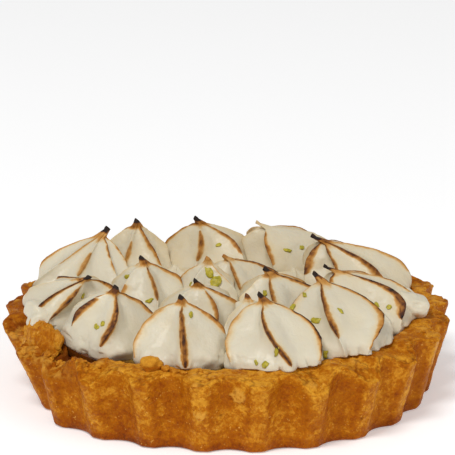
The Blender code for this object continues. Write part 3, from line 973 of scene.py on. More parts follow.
@dataclass(frozen=True)
class CrustSkin:
    """The crumbly skin of the case: lumps, grain, pits, flakes and clefts, and the crags of the break.

    Heights and depths are along the surface's outward direction, and shades say how dark painted shade makes
    a dip.
    """

    case: PastryCase
    finish: Shortcrust = Shortcrust()
    tones: BakeAndShadeTones = BakeAndShadeTones()
    weight_span: Span = (0.2 * MM, 1.6 * MM)
    lumps: tuple[Noise, ...] = (Noise(0.13 * MM, 4.2 * MM, 3), Noise(0.09 * MM, 1.9 * MM, 5))
    rim_lumps: tuple[Noise, ...] = (Noise(0.24 * MM, 5.2 * MM, 9), Noise(0.12 * MM, 2.1 * MM, 15))
    grain: Noise = Noise(1.0, 0.9 * MM, 7, 2)
    grain_height: float = 0.13 * MM
    rim_grain_height: float = 0.02 * MM
    chunk_cell: float = 1.3 * MM
    chunk_seed: int = 37
    chunk_fade: Span = (0.3 * MM, 0.9 * MM)
    chunk_height: float = 0.07 * MM
    rim_chunk_height: float = 0.03 * MM
    ragged: Noise = Noise(1.0, 1.5 * MM, 19, 2)
    ragged_height: float = 0.432 * MM
    ragged_level: float = 0.4
    ragged_on_rim: float = 0.45
    pits: Spots = Spots(2.3 * MM, 23, (0.15 * MM, 0.55 * MM), 0.78)
    pit_depth: float = 0.34 * MM
    pit_shade: float = 0.45
    flakes: Spots = Spots(4.0 * MM, 41, (0.5 * MM, 1.3 * MM), 0.5)
    flake_height: float = 0.30 * MM
    flake_crumb: float = 0.8
    wall_flakes: tuple[Triple, ...] = (
        (3.2, 13.2 * MM, 1.5 * MM), (-7.0, 9.3 * MM, 1.2 * MM))
    wall_flake_edge: Noise = Noise(0.5, 0.9 * MM, 49)
    wall_flake_fade: float = 0.75
    wall_flake_gain: float = 1.25
    clefts: Noise = Noise(1.0, 2.4 * MM, 45, 3)
    cleft_span: Span = (0.03, 0.15)
    cleft_patches: Noise = Noise(1.0, 4.0 * MM, 47)
    cleft_patch_span: Span = (0.05, 0.3)
    cleft_depth: float = 0.14 * MM
    cleft_shade: float = 0.5
    hollow: Stretch = Stretch(-50.0, 13.0, 0.3)
    hollow_radius: float = 42.8 * MM
    hollow_fade: Span = (1.5 * MM, 3.0 * MM)
    hollow_span: Span = (13.5 * MM, 15.5 * MM)
    hollow_depth: float = 3.0 * MM
    hollow_shade: float = 0.9
    hollow_unevenness: Noise = Noise(0.4, 1.6 * MM, 29)
    broken_span: Span = (11.5 * MM, 13.3 * MM)
    crags: Noise = Noise(2.6, 3.4 * MM, 17, 3)
    crag_height: float = 0.80 * MM
    block_bend: Noise = Noise(0.5 * MM, 1.4 * MM, 33)
    block_cell: float = 1.5 * MM
    block_seed: int = 35
    shelf_height: float = 0.30 * MM
    break_sink: float = 0.3 * MM
    break_crumb_span: Span = (0.35, 0.8)
    seam_span: Span = (0.6 * MM, 1.0 * MM)
    seam_depth: float = 0.08 * MM
    seam_shade: float = 0.20
    shard_calm: float = 0.4

    def evenly_rough(self, grid: CaseGrid) -> Array:
        """Works out the lumps and grain that the whole case has, stronger on the rim.

        Args:
            grid: the case's grid.

        Returns:
            A height for each point.
        """
        points, rim = grid.points, grid.on_rim()
        lumps = layered(self.lumps, points) + rim * layered(self.rim_lumps, points)
        grain = (self.grain_height + self.rim_grain_height * rim) * self.grain.at(points)
        away, step = nearest_spot(points, self.chunk_cell, self.chunk_seed)
        chunks = (self.chunk_height + self.rim_chunk_height * rim) * (step - 0.5)
        chunks = chunks * (1.0 - eased(*self.chunk_fade, away))
        edge = np.where(grid.within(Zone.RIM_EDGE), 1.0, self.ragged_on_rim * grid.within(Zone.RIM))
        ragged = self.ragged_height * edge * (self.ragged_level - np.abs(self.ragged.at(points)))
        return lumps + grain + chunks + ragged

    def flaked(self, grid: CaseGrid) -> Array:
        """Works out where pale flakes lie: scattered on the rim, and a few on the wall.

        Args:
            grid: the case's grid.

        Returns:
            1 on a flake, easing to 0.
        """
        flake = self.flakes.at(grid.points) * grid.on_rim()
        around = bearings_of(grid.points)
        for degrees, height, size in self.wall_flakes:
            sideways = np.remainder(around - math.radians(degrees) + math.pi, TURN) - math.pi
            off = np.hypot(sideways * self.case.base_radius, grid.points[..., 2] - height)
            off = off * (1.0 + self.wall_flake_edge.at(grid.points))
            here = 1.0 - eased(self.wall_flake_fade * size, size, off)
            flake = np.maximum(flake, self.wall_flake_gain * here)
        return flake

    def cleft(self, grid: CaseGrid) -> Array:
        """Returns 1 in the clefts of the rim, which run where a random field is nearly nought."""
        crack = 1.0 - eased(*self.cleft_span, np.abs(self.clefts.at(grid.points)))
        return crack * grid.on_rim() * eased(*self.cleft_patch_span, self.cleft_patches.at(grid.points))

    def hollowed(self, points: Array) -> Array:
        """Returns 1 in the hollow beside the break, which is sunk and painted with shade, easing to 0 at its
        edges.
        """
        off = np.abs(np.hypot(points[..., 0], points[..., 1]) - self.hollow_radius)
        here = self.hollow.at(bearings_of(points)) * (1.0 - eased(*self.hollow_fade, off))
        return here * eased(*self.hollow_span, points[..., 2])

    def relief(self, grid: CaseGrid) -> tuple[Array, Array, Array]:
        """Raises lumps and crags along the surface's directions, and sinks pits and the hollow.

        Args:
            grid: the case's grid.

        Returns:
            The raised points, the painted shade of their pits, clefts, seams and hollow, and how open their
            crumb.
        """
        points = grid.points
        around = bearings_of(points)
        outside = ~grid.within(Zone.UNDERSIDE, Zone.FLOOR)
        weight = outside * eased(*self.weight_span, points[..., 2])
        broken = self.case.broken.at(around) * eased(*self.broken_span, points[..., 2])
        pit, hollow = self.pits.at(points), self.hollowed(points)
        flake, cleft = self.flaked(grid), self.cleft(grid)
        bent = points + self.block_bend.at(points)[..., None]
        block, step = nearest_spot(bent, self.block_cell, self.block_seed)
        seam = eased(*self.seam_span, block)
        crags = 1.0 - np.abs(self.crags.at(points))
        shelves = self.shelf_height * (step - 0.5) - self.seam_depth * seam
        shelves = shelves + self.crag_height * crags - self.break_sink
        lift = self.evenly_rough(grid) - self.pit_depth * pit
        lift = lift + self.flake_height * flake - self.cleft_depth * cleft
        lift = lift + broken * shelves * (1.0 - self.shard_calm * self.case.shard.at(around))
        raised = points + grid_normals(points) * (lift * weight)[..., None]
        raised[..., 2] -= self.hollow_depth * hollow * (1.0 + self.hollow_unevenness.at(points))
        raised[..., 2] = np.maximum(raised[..., 2], 0.0)
        crumb = broken * eased(*self.break_crumb_span, step) + self.flake_crumb * flake
        # painted shade in the pits, the hollow, the clefts and the seams of the break
        shade = self.pit_shade * pit + self.hollow_shade * hollow
        shade = shade + self.cleft_shade * cleft + self.seam_shade * broken * seam
        return raised, np.clip(shade, 0.0, 1.0) * weight, np.clip(crumb, 0.0, 1.0) * weight

    def build(self) -> Object:
        """Makes the case, paints it and lets it stand for the crust's solid.

        Returns:
            The piece.
        """
        grid = self.case.grid()
        raised, pit, crumb = self.relief(grid)
        floor = np.array([0.0, 0.0, self.case.floor_thickness])
        mesh = closed_skin("pastry_case", raised, np.zeros(3), floor)
        paint(mesh, "browning_and_shade", self.tones.at(self.case, grid), (0.6, 0.4))
        # pit holds the painted shade of the dips
        paint(mesh, "pit", pit, (0.0, 0.0))
        paint(mesh, "crumb", crumb, (0.0, 0.0))
        piece = show("pastry_case", mesh, self.finish.material())
        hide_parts("crust")
        return piece


@dataclass(frozen=True)
class LemonFilling:
    """The disc of filling that fills the case up to the kisses."""

    case: PastryCase
    columns: int = 240
    side_levels: int = 12
    edge_levels: int = 6
    top_levels: int = 40
    top_hole: float = 0.02
    gap: float = 0.12 * MM
    edge_round: float = 0.6 * MM
    waves: Noise = Noise(0.12 * MM, 4.0 * MM, 61, 3)
    finish: LemonCurd = LemonCurd()

    def build(self) -> None:
        """Turns the filling's section round the axis: a top with low waves, a rounded edge, a cone below."""
        case = self.case
        b = np.arange(self.columns)[None, :] * TURN / self.columns
        brim = case.brim_radius - self.gap
        base = case.floor_inner_radius - self.gap
        low = case.floor_thickness + self.gap
        rise = np.linspace(0.0, 1.0, self.side_levels)[:, None]
        heights = low + (case.filling_top - self.edge_round - low) * rise
        side = at_bearing(b, base + (brim - base) * rise, heights)
        arc = np.linspace(0.0, math.pi / 2.0, self.edge_levels)[1:, None]
        edge_heights = case.filling_top - self.edge_round * (1.0 - np.sin(arc))
        edge = at_bearing(b, brim - self.edge_round * (1.0 - np.cos(arc)), edge_heights)
        share = np.linspace(1.0, self.top_hole, self.top_levels)[1:, None]
        top = at_bearing(b, (brim - self.edge_round) * share, case.filling_top)
        top[..., 2] += self.waves.at(top)
        rings = np.concatenate([side, edge, top])
        centre = np.array([0.0, 0.0, case.filling_top])
        mesh = closed_skin("lemon_curd", rings, np.array([0.0, 0.0, low]), centre)
        piece = show("lemon_curd", mesh, self.finish.material())
        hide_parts("lemon_filling")


@dataclass(frozen=True)
class Rib:
    """One rib of a kiss, with its bearings at the tip and at the foot in degrees, and its torch mark.

    The mark runs from the low to the high share of the height, and reaches left and right of the crest by
    widths in mm. brown is how far it is toasted, and line how dark a thin line runs along it, inset mm
    left of the crest. The mark is widest below its middle, and above it where rise is more than 1.
    """

    top: float
    foot: float
    low: float = 0.30
    high: float = 0.86
    left: float = 0.7
    right: float = 0.7
    brown: float = 0.50
    line: float = 0.6
    inset: float = 0.0
    rise: float = 1.0


@dataclass(frozen=True)
class Kiss:
    """One piped kiss: the middle and radius of its foot, its tip (mm), its fullness and its ribs.

    char is how black the tip is, and torched how strongly the ribs behind are marked.
    """

    number: int
    foot: tuple[float, float]
    radius: float
    tip: Triple
    fullness: float
    ribs: tuple[Rib, ...]
    char: float = 1.0
    torched: float = 1.0


RIB_COUNT = 6
KISSES = (
    Kiss(1, (-9.5, -30.2), 11.0, (-10.0, -31.0, 31.0), 2.6, (
        Rib(-98, -66, 0.10, 0.90, 0.1, 0.8, 0.26, 0.05),
        Rib(2, 4, 0.12, 0.80, 1.35, 1.35, 0.56, 0.72, 1.0),
        Rib(100, 72, 0.40, 0.92, 1.2, 0.2, 0.44, 1.0))),
    Kiss(2, (10.1, -32.3), 11.5, (6.9, -29.8, 31.2), 3.0, (
        Rib(-104, -52, 0.14, 0.90, 0.2, 0.75, 0.26, 0.05),
        Rib(-15, 20, 0.18, 0.80, 1.1, 1.2, 0.57, 0.74, 0.7),
        Rib(106, 54, 0.16, 0.95, 0.75, 0.2, 0.34, 1.0))),
    Kiss(3, (24.3, -22.8), 11.8, (19.0, -17.8, 32.0), 3.2, (
        Rib(-104, -58, 0.42, 0.84, 0.2, 0.6, 0.18, 0.05),
        Rib(-16, 6, 0.36, 0.84, 0.8, 1.3, 0.55, 0.80, 0.6),
        Rib(112, 30, 0.18, 0.95, 0.95, 0.2, 0.42, 1.0))),
    Kiss(4, (31.5, -6.5), 10.8, (21.6, -6.8, 30.0), 4.4, (
        Rib(-110, -70, 0.30, 0.85, 0.2, 0.3, 0.12, 0.05),
        Rib(-58, 14, 0.48, 0.88, 1.0, 0.9, 0.54, 0.75, 0.6),
        Rib(74, 36, 0.26, 0.84, 2.2, 1.0, 0.62, 0.80, 0.9),
        Rib(118, 86, 0.40, 0.92, 0.6, 0.2, 0.30, 0.75))),
    Kiss(5, (29.2, 11.3), 12.5, (19.3, 11.0, 31.5), 4.4, (
        Rib(-118, -112, 0.30, 0.80, 0.2, 0.2, 0.10, 0.05),
        Rib(-72, -62, 0.46, 0.88, 0.8, 1.1, 0.52, 0.4, 0.3),
        Rib(-16, -8, 0.62, 0.86, 0.6, 0.8, 0.48, 0.4),
        Rib(42, 28, 0.36, 0.88, 2.3, 1.7, 0.54, 0.45, 0.8),
        Rib(112, 98, 0.35, 0.96, 0.8, 0.3, 0.32, 0.45))),
    Kiss(6, (25.0, 24.5), 10.8, (21.0, 26.5, 25.6), 4.5, (
        Rib(20, 20, 0.3, 0.8, 0.2, 0.2, 0.08, 0.0),), 0.0, 0.4),
    Kiss(7, (14.6, 28.3), 11.8, (6.9, 26.6, 29.8), 4.8, (
        Rib(-86, -80, 0.40, 0.85, 0.2, 0.3, 0.16, 0.1),
        Rib(-24, -14, 0.42, 0.83, 1.0, 1.1, 0.47, 0.15, 0.3),
        Rib(112, 106, 0.45, 0.95, 0.4, 0.3, 0.12, 0.05)), 0.20),
    Kiss(8, (-3.8, 29.5), 12.0, (-7.2, 27.6, 30.6), 2.7, (
        Rib(-95, -100, 0.40, 0.86, 0.3, 0.6, 0.42, 0.4),
        Rib(-8, -20, 0.42, 0.80, 1.2, 1.2, 0.46, 0.15, 0.3),
        Rib(66, 36, 0.45, 0.92, 0.9, 0.5, 0.44, 0.6))),
    Kiss(9, (-21.0, 25.5), 11.4, (-20.8, 24.4, 31.0), 1.7, (
        Rib(-84, -80, 0.30, 0.86, 0.2, 0.3, 0.14, 0.1),
        Rib(-8, -20, 0.34, 0.70, 1.0, 1.0, 0.34, 0.1),
        Rib(43, 42, 0.35, 0.94, 0.9, 0.3, 0.42, 0.8))),
    Kiss(10, (-33.0, 14.0), 13.2, (-27.3, 18.4, 31.0), 2.7, (
        Rib(-92, -100, 0.35, 0.86, 0.6, 0.5, 0.38, 0.35),
        Rib(-34, -62, 0.60, 0.92, 0.4, 0.6, 0.30, 0.2),
        Rib(4, -16, 0.50, 0.74, 1.2, 1.1, 0.38, 0.1),
        Rib(48, 42, 0.48, 0.84, 0.2, 0.2, 0.24, 0.66),
        Rib(84, 56, 0.50, 0.84, 0.2, 0.2, 0.24, 0.60))),
    Kiss(11, (-34.9, -3.6), 12.9, (-30.5, -8.6, 28.0), 3.6, (
        Rib(-106, -110, 0.30, 0.80, 0.2, 0.2, 0.12, 0.1),
        Rib(-36, -42, 0.40, 0.94, 0.6, 1.3, 0.58, 0.85),
        Rib(2, -24, 0.32, 0.80, 1.5, 1.2, 0.54, 0.45, 0.9, 2.0),
        Rib(110, 54, 0.42, 0.92, 1.1, 0.4, 0.54, 0.85))),
    Kiss(12, (-26.0, -21.5), 11.6, (-24.2, -23.0, 30.5), 2.8, (
        Rib(-132, -128, 0.30, 0.80, 0.2, 0.2, 0.10, 0.05),
        Rib(-84, -74, 0.34, 0.78, 0.4, 1.8, 0.60, 0.9, 0.0, 3.0),
        Rib(22, -9, 0.20, 0.84, 1.3, 1.5, 0.54, 0.66, 0.8),
        Rib(118, 100, 0.40, 0.94, 1.1, 0.3, 0.46, 0.95))),
    Kiss(13, (-17.0, -1.5), 11.2, (-19.1, -2.0, 30.5), 2.4, (
        Rib(-48, -46, 0.42, 0.62, 0.9, 1.0, 0.34, 0.1),
        Rib(16, 10, 0.46, 0.84, 0.7, 1.0, 0.44, 0.30),
        Rib(122, 74, 0.38, 0.94, 1.1, 0.3, 0.44, 0.8))),
    Kiss(14, (-5.0, -15.0), 11.2, (-7.0, -16.8, 30.0), 2.8, (
        Rib(-55, -58, 0.35, 0.70, 0.3, 0.3, 0.12, 0.0),
        Rib(34, 8, 0.46, 0.80, 1.1, 1.0, 0.46, 0.45, 0.4),
        Rib(80, 92, 0.40, 0.94, 1.1, 0.3, 0.42, 0.95)), 1.0, 0.2),
    Kiss(15, (4.5, -19.5), 8.8, (4.2, -17.0, 26.6), 2.8, (
        Rib(10, 10, 0.40, 0.41, 0.2, 0.2, 0.1, 0.0),), 0.7, 0.0),
    Kiss(16, (12.5, -8.5), 11.8, (8.4, -8.5, 30.0), 3.0, (
        Rib(-76, -70, 0.40, 0.80, 0.2, 0.3, 0.16, 0.05),
        Rib(-14, 2, 0.46, 0.82, 0.9, 0.9, 0.46, 0.45, 0.5),
        Rib(98, 96, 0.32, 0.94, 1.4, 0.3, 0.52, 1.0))),
    Kiss(17, (-4.5, -0.5), 10.4, (-4.4, -1.0, 30.0), 1.9, (
        Rib(-104, -112, 0.45, 0.84, 0.2, 0.3, 0.20, 0.35),
        Rib(-34, -34, 0.50, 0.51, 0.3, 0.3, 0.1, 0.0),
        Rib(58, 60, 0.60, 0.90, 0.3, 0.3, 0.20, 0.3)), 0.45),
    Kiss(18, (3.5, 8.5), 11.4, (-0.6, 6.6, 28.0), 2.8, (
        Rib(-66, -62, 0.60, 0.80, 0.3, 0.3, 0.12, 0.05),
        Rib(-4, 4, 0.48, 0.86, 0.8, 0.8, 0.46, 0.4, 0.3),
        Rib(124, 118, 0.36, 0.92, 1.3, 0.3, 0.50, 0.8)), 0.5),
    Kiss(19, (16.0, 12.0), 11.4, (15.0, 14.0, 22.5), 2.8, (
        Rib(0, 0, 0.30, 0.31, 0.2, 0.2, 0.1, 0.0),), 0.0, 0.0),
    Kiss(20, (-12.5, 14.0), 11.6, (-12.0, 16.0, 22.5), 2.8, (
        Rib(10, 10, 0.30, 0.31, 0.2, 0.2, 0.1, 0.0),), 0.0, 0.0),
)


@dataclass(frozen=True)
class KissShape:
    """The shape that all kisses share: a ribbed dome that leans, and a thin spike with a hook.

    Radii without MM are shares of the foot's radius, and heights of the kiss's height over its base.
    """

    base: float = 16.2 * MM
    shoulder: float = 0.855
    fullness_share: float = 0.94
    dome_power: float = 0.86
    foot_tuck: float = 0.06
    foot_height: float = 0.10
    spike_radius: float = 0.036
    flare_radius: float = 0.130
    flare_share: float = 0.80
    flare_power: float = 1.6
    cap_share: float = 0.94
    cap_power: float = 0.8
    lean_end: float = 0.94
    lean_power: float = 3.6
    hook: float = 0.40 * MM
    hook_share: float = 0.78
    hook_bearing: float = 70.0
    hook_spread: float = 25.0

    def profile(self, share: Array, fullness: float) -> Array:
        """Works out the rib radius up a kiss.

        A dome that closes at the shoulder and is tucked in at the foot is joined, as the root of the sum
        of squares, to a flared spike with a round end.

        Args:
            share: shares of the height.
            fullness: how far up the dome stays wide.

        Returns:
            Shares of the full radius.
        """
        narrowing = (share / self.shoulder) ** (self.fullness_share * fullness)
        dome = np.clip(1.0 - narrowing, 0.0, 1.0) ** self.dome_power
        tuck = 1.0 - self.foot_tuck * np.clip(1.0 - share / self.foot_height, 0.0, 1.0) ** 2
        cap = np.clip((share - self.cap_share) / (1.0 - self.cap_share), 0.0, 1.0)
        flare = np.clip((1.0 - share) / (1.0 - self.flare_share), 0.0, 1.0) ** self.flare_power
        spike = (self.spike_radius + self.flare_radius * flare) * (1.0 - cap**2) ** self.cap_power
        return np.sqrt((dome * tuck) ** 2 + spike**2)

    def height(self, kiss: Kiss) -> float:
        """Returns a kiss's height above its foot."""
        return kiss.tip[2] * MM - self.base

    def share(self, kiss: Kiss, heights: Array) -> Array:
        """Returns heights as shares of a kiss's own."""
        return (heights - self.base) / self.height(kiss)

    def axis(self, kiss: Kiss, heights: Array) -> Array:
        """Works out the middle of a kiss: it leans as a power of the height, and its spike as a half sine.

        Args:
            kiss: the kiss.
            heights: where its middle is wanted.

        Returns:
            Places of shape (levels, 2).
        """
        share = self.share(kiss, heights)
        lean = np.clip(share / self.lean_end, 0.0, 1.0)[:, None] ** self.lean_power
        foot = np.array(kiss.foot) * MM
        up_hook = np.clip((share - self.hook_share) / (1.0 - self.hook_share), 0.0, 1.0)
        bend = self.hook * np.sin(math.pi * up_hook)[:, None]
        way = math.radians(self.hook_bearing + self.hook_spread * math.sin(kiss.number))
        return foot + (np.array(kiss.tip[:2]) * MM - foot) * lean + bend * [math.sin(way), math.cos(way)]

    def reach(self, kiss: Kiss, heights: Array) -> Array:
        """Returns a kiss's rib radius at each height, and 0 above its tip."""
        share = self.share(kiss, heights)
        return kiss.radius * MM * self.profile(np.clip(share, 0.0, 1.0), kiss.fullness) * (share <= 1.0)


@dataclass(frozen=True)
class RimRules:
    """How far out the meringue may reach: inside the case up to its rim, and over the rim above it.

    The edge over the rim is frilled and lobed, held back by the break and the large crumb, and turned
    under as a quarter circle.
    """

    case: PastryCase
    clearance: float = 0.05 * MM
    shard: Stretch = Stretch(-70.0, 18.0)
    shard_gap: float = 0.3 * MM
    overhang: float = 4.3 * MM
    overhang_least: float = 0.2 * MM
    held_back: Stretch = Stretch(-44.0, 29.0, 0.3)
    crumb: Stretch = Stretch(-20.0, 7.0)
    frill: float = 0.20
    frill_counts: tuple[int, ...] = (29, 43, 67)
    frill_seed: int = 5
    lobes: int = 24
    lobe_depth: float = 2.3 * MM
    lobe_level: float = 0.35
    lobe_power: float = 1.6
    lobe_span: Span = (0.6 * MM, 4.2 * MM)
    lobe_drift: float = 1.1
    lobe_counts: tuple[int, ...] = (3, 7, 12)
    lobe_seed: int = 8
    turn_under: float = 1.3 * MM

    def inside(self, bearings: Array) -> Array:
        """Returns the radius at which a kiss touches the inside of the rim."""
        lean = self.shard.at(bearings) * self.case.shard_lean
        return self.case.rim_inner_radius + self.clearance - lean

    def overhang_limit(self, bearings: Array) -> Array:
        """Works out how far a kiss may reach over the rim, where its edge is frilled.

        Args:
            bearings: bearings round the case.

        Returns:
            The radii.
        """
        frill = 1.0 + closed_wave(bearings, self.frill, self.frill_counts, self.frill_seed)
        over = self.overhang * frill * (1.0 - self.held_back.at(bearings)) * (1.0 - self.crumb.at(bearings))
        return self.inside(bearings) + np.maximum(over, self.overhang_least)

    def limit(self, bearings: Array, heights: Array) -> Array:
        """Works out the largest radius at each bearing and height.

        Args:
            bearings: bearings round the case.
            heights: heights above the floor.

        Returns:
            The radii.
        """
        inside = self.inside(bearings)
        rise = self.shard.at(bearings) * (self.case.shard_rise + self.shard_gap)
        above = heights - (self.case.height + rise)
        phase = self.lobes * bearings
        phase = phase + closed_wave(bearings, self.lobe_drift, self.lobe_counts, self.lobe_seed)
        notch = (1.0 - np.abs(np.sin(phase))) ** self.lobe_power
        low = 1.0 - eased(*self.lobe_span, above)
        over = self.overhang_limit(bearings) + self.lobe_depth * (self.lobe_level - notch) * low
        turned = np.clip(1.0 - above / self.turn_under, 0.0, 1.0)
        over = over - self.turn_under * (1.0 - np.sqrt(1.0 - turned**2))
        return np.where(above < 0.0, inside, np.maximum(over, inside))

    def surface(self, bearings: Array) -> Array:
        """Returns the height of the rim that a kiss lies on, without the sag of the ridges."""
        rough, uneven = self.case.rim_waves(bearings)
        return self.case.height + np.maximum(uneven, rough - self.case.rim_inner_drop)


@dataclass(frozen=True)
class KissGrid:
    """The grid of one kiss: levels up its height, and columns that follow its ribs round it.

    share, heights, axis and reach (the rib radius) belong to the levels. For each column, sector is the
    rib before it, part how far it is from that rib to the next, nearest the number of the nearest rib,
    and side 1 right of that rib and -1 left of it. For each point, width is the angle between the two
    ribs, away the length along the surface to the nearest one, and along the direction out.
    """

    kiss: Kiss
    share: Array
    heights: Array
    axis: Array
    reach: Array
    sector: Array
    part: Array
    nearest: Array
    side: Array
    width: Array
    away: Array
    along: Array

    def flat(self, radii: Array) -> Array:
        """Returns the level places of points at the given radii from the axis."""
        return self.axis[:, None, :] + radii[..., None] * self.along


@dataclass(frozen=True)
class Torch:
    """How the torch marks the ribs and tips, as toast values from 0 for white to 1 for black.

    Edges are shares of a mark's half width. A rib browned less than full_brown has a fainter, softer mark.
    """

    least_half: float = 0.02 * MM
    belly_gain: float = 1.35
    belly_powers: Span = (0.35, 0.5)
    wander: tuple[Noise, ...] = (Noise(0.30, 1.5 * MM, 71), Noise(0.15, 0.6 * MM, 72))
    streaks: tuple[Noise, ...] = (Noise(0.55, 0.5 * MM, 73, 3, 0.55), Noise(0.35, 2.0 * MM, 75))
    full_brown: float = 0.5
    mark_edge: Span = (0.35, 1.30)
    faint_edge: Span = (-0.30, 0.55)
    mark_level: float = 1.02
    mark_streaks: float = 0.62
    core_width: float = 0.45
    core_faint: float = 0.8
    core_gain: Span = (0.86, 0.44)
    halo: float = 0.09
    halo_edge: Span = (0.8, 2.6)
    line_width: float = 0.22 * MM
    line_unevenness: Noise = Noise(0.11 * MM, 0.7 * MM, 79)
    line_start: Span = (-0.04, 0.14)
    line_end: Span = (0.0, 0.08)
    line_breaks: Noise = Noise(1.0, 1.1 * MM, 77)
    line_break_span: Span = (-0.6, 0.10)
    tint: float = 0.05
    tint_span: Span = (-12.0 * MM, 25.0 * MM)
    tint_slant: float = 0.6
    tint_patches: Noise = Noise(0.035, 4.0 * MM, 93)
    tint_patch_span: Span = (0.1, 0.5)
    tint_under_toast: float = 0.6
    tip_patches: Noise = Noise(0.02, 0.9 * MM, 88)
    tip_span: Span = (0.875, 0.94)
    tip_level: float = 0.98
    tip_unevenness: Noise = Noise(0.1, 0.8 * MM, 91)
    singe: float = 0.58
    singe_span: Span = (0.79, 0.88)
    singe_level: float = 0.85
    singe_unevenness: Noise = Noise(0.5, 1.2 * MM, 89)

    def marks(self, ribs: list[Rib], grid: KissGrid, spot: Array) -> Array:
        """Paints the torch marks of all ribs.

        Each is a lens, whose half width is a product of powers of the way along it. It is darkest by the
        crest and fades at its edge, with a thin dark line by the crest.

        Args:
            ribs: the kiss's ribs.
            grid: the kiss's grid.
            spot: points that the uneven edges are read at.

        Returns:
            A toast value for each point.
        """
        def row(name: str) -> Array:
            """Returns one field of the nearest rib, for every column."""
            return np.array([getattr(rib, name) for rib in ribs])[grid.nearest][None, :]

        low, high, brown = row("low"), row("high"), row("brown")
        width = np.where(grid.side > 0, row("right"), row("left")) * MM
        along = np.clip((grid.share - low) / (high - low), 0.0, 1.0)
        here = (along > 0.0) * (along < 1.0)
        along = along ** row("rise")
        rising, falling = self.belly_powers
        belly = np.minimum(1.0, self.belly_gain * along**rising * (1.0 - along) ** falling)
        edge = grid.away / (width * belly * (1.0 + layered(self.wander, spot)) + self.least_half)
        faint = np.clip(1.0 - brown / self.full_brown, 0.0, 1.0)
        start, end = (place + faint * more for place, more in zip(self.mark_edge, self.faint_edge))
        lens = (1.0 - eased(start, end, edge)) * here
        lens = lens * (self.mark_level + self.mark_streaks * layered(self.streaks, spot))
        core = np.exp(-((edge / self.core_width) ** 2)) * (1.0 - self.core_faint * faint)
        lens = brown * lens * (self.core_gain[0] + self.core_gain[1] * core)
        halo = self.halo * (1.0 - eased(*self.halo_edge, edge)) * here
        beside = np.abs(grid.away * grid.side + row("inset") * MM * belly)
        thin = self.line_width + self.line_unevenness.at(spot)
        rise = eased(*self.line_start, grid.share - low) * (1.0 - eased(*self.line_end, grid.share - high))
        broken = eased(*self.line_break_span, self.line_breaks.at(spot))
        line = np.exp(-((beside / thin) ** 2)) * row("line") * rise * broken
        return np.maximum(np.maximum(lens, halo), line)

    def tinted(self, grid: KissGrid, spot: Array, toast: Array) -> Array:
        """Adds a faint tint towards the back right, a singed neck and a black tip.

        Args:
            grid: the kiss's grid.
            spot: points that the uneven edges are read at.
            toast: the toast values of the torch marks.

        Returns:
            The new toast values.
        """
        char = grid.kiss.char
        tint = self.tint * eased(*self.tint_span, spot[..., 1] + self.tint_slant * spot[..., 0])
        tint = tint + self.tint_patches.at(spot) * eased(*self.tint_patch_span, grid.share)
        toast = np.maximum(toast, tint + self.tint_under_toast * toast)
        patchy = grid.share + self.tip_patches.at(spot)
        tip = char * eased(*self.tip_span, patchy) * (self.tip_level + self.tip_unevenness.at(spot))
        singe = self.singe * char * eased(*self.singe_span, patchy)
        singe = singe * (self.singe_level + self.singe_unevenness.at(spot))
        return np.maximum(toast, np.maximum(tip, singe))


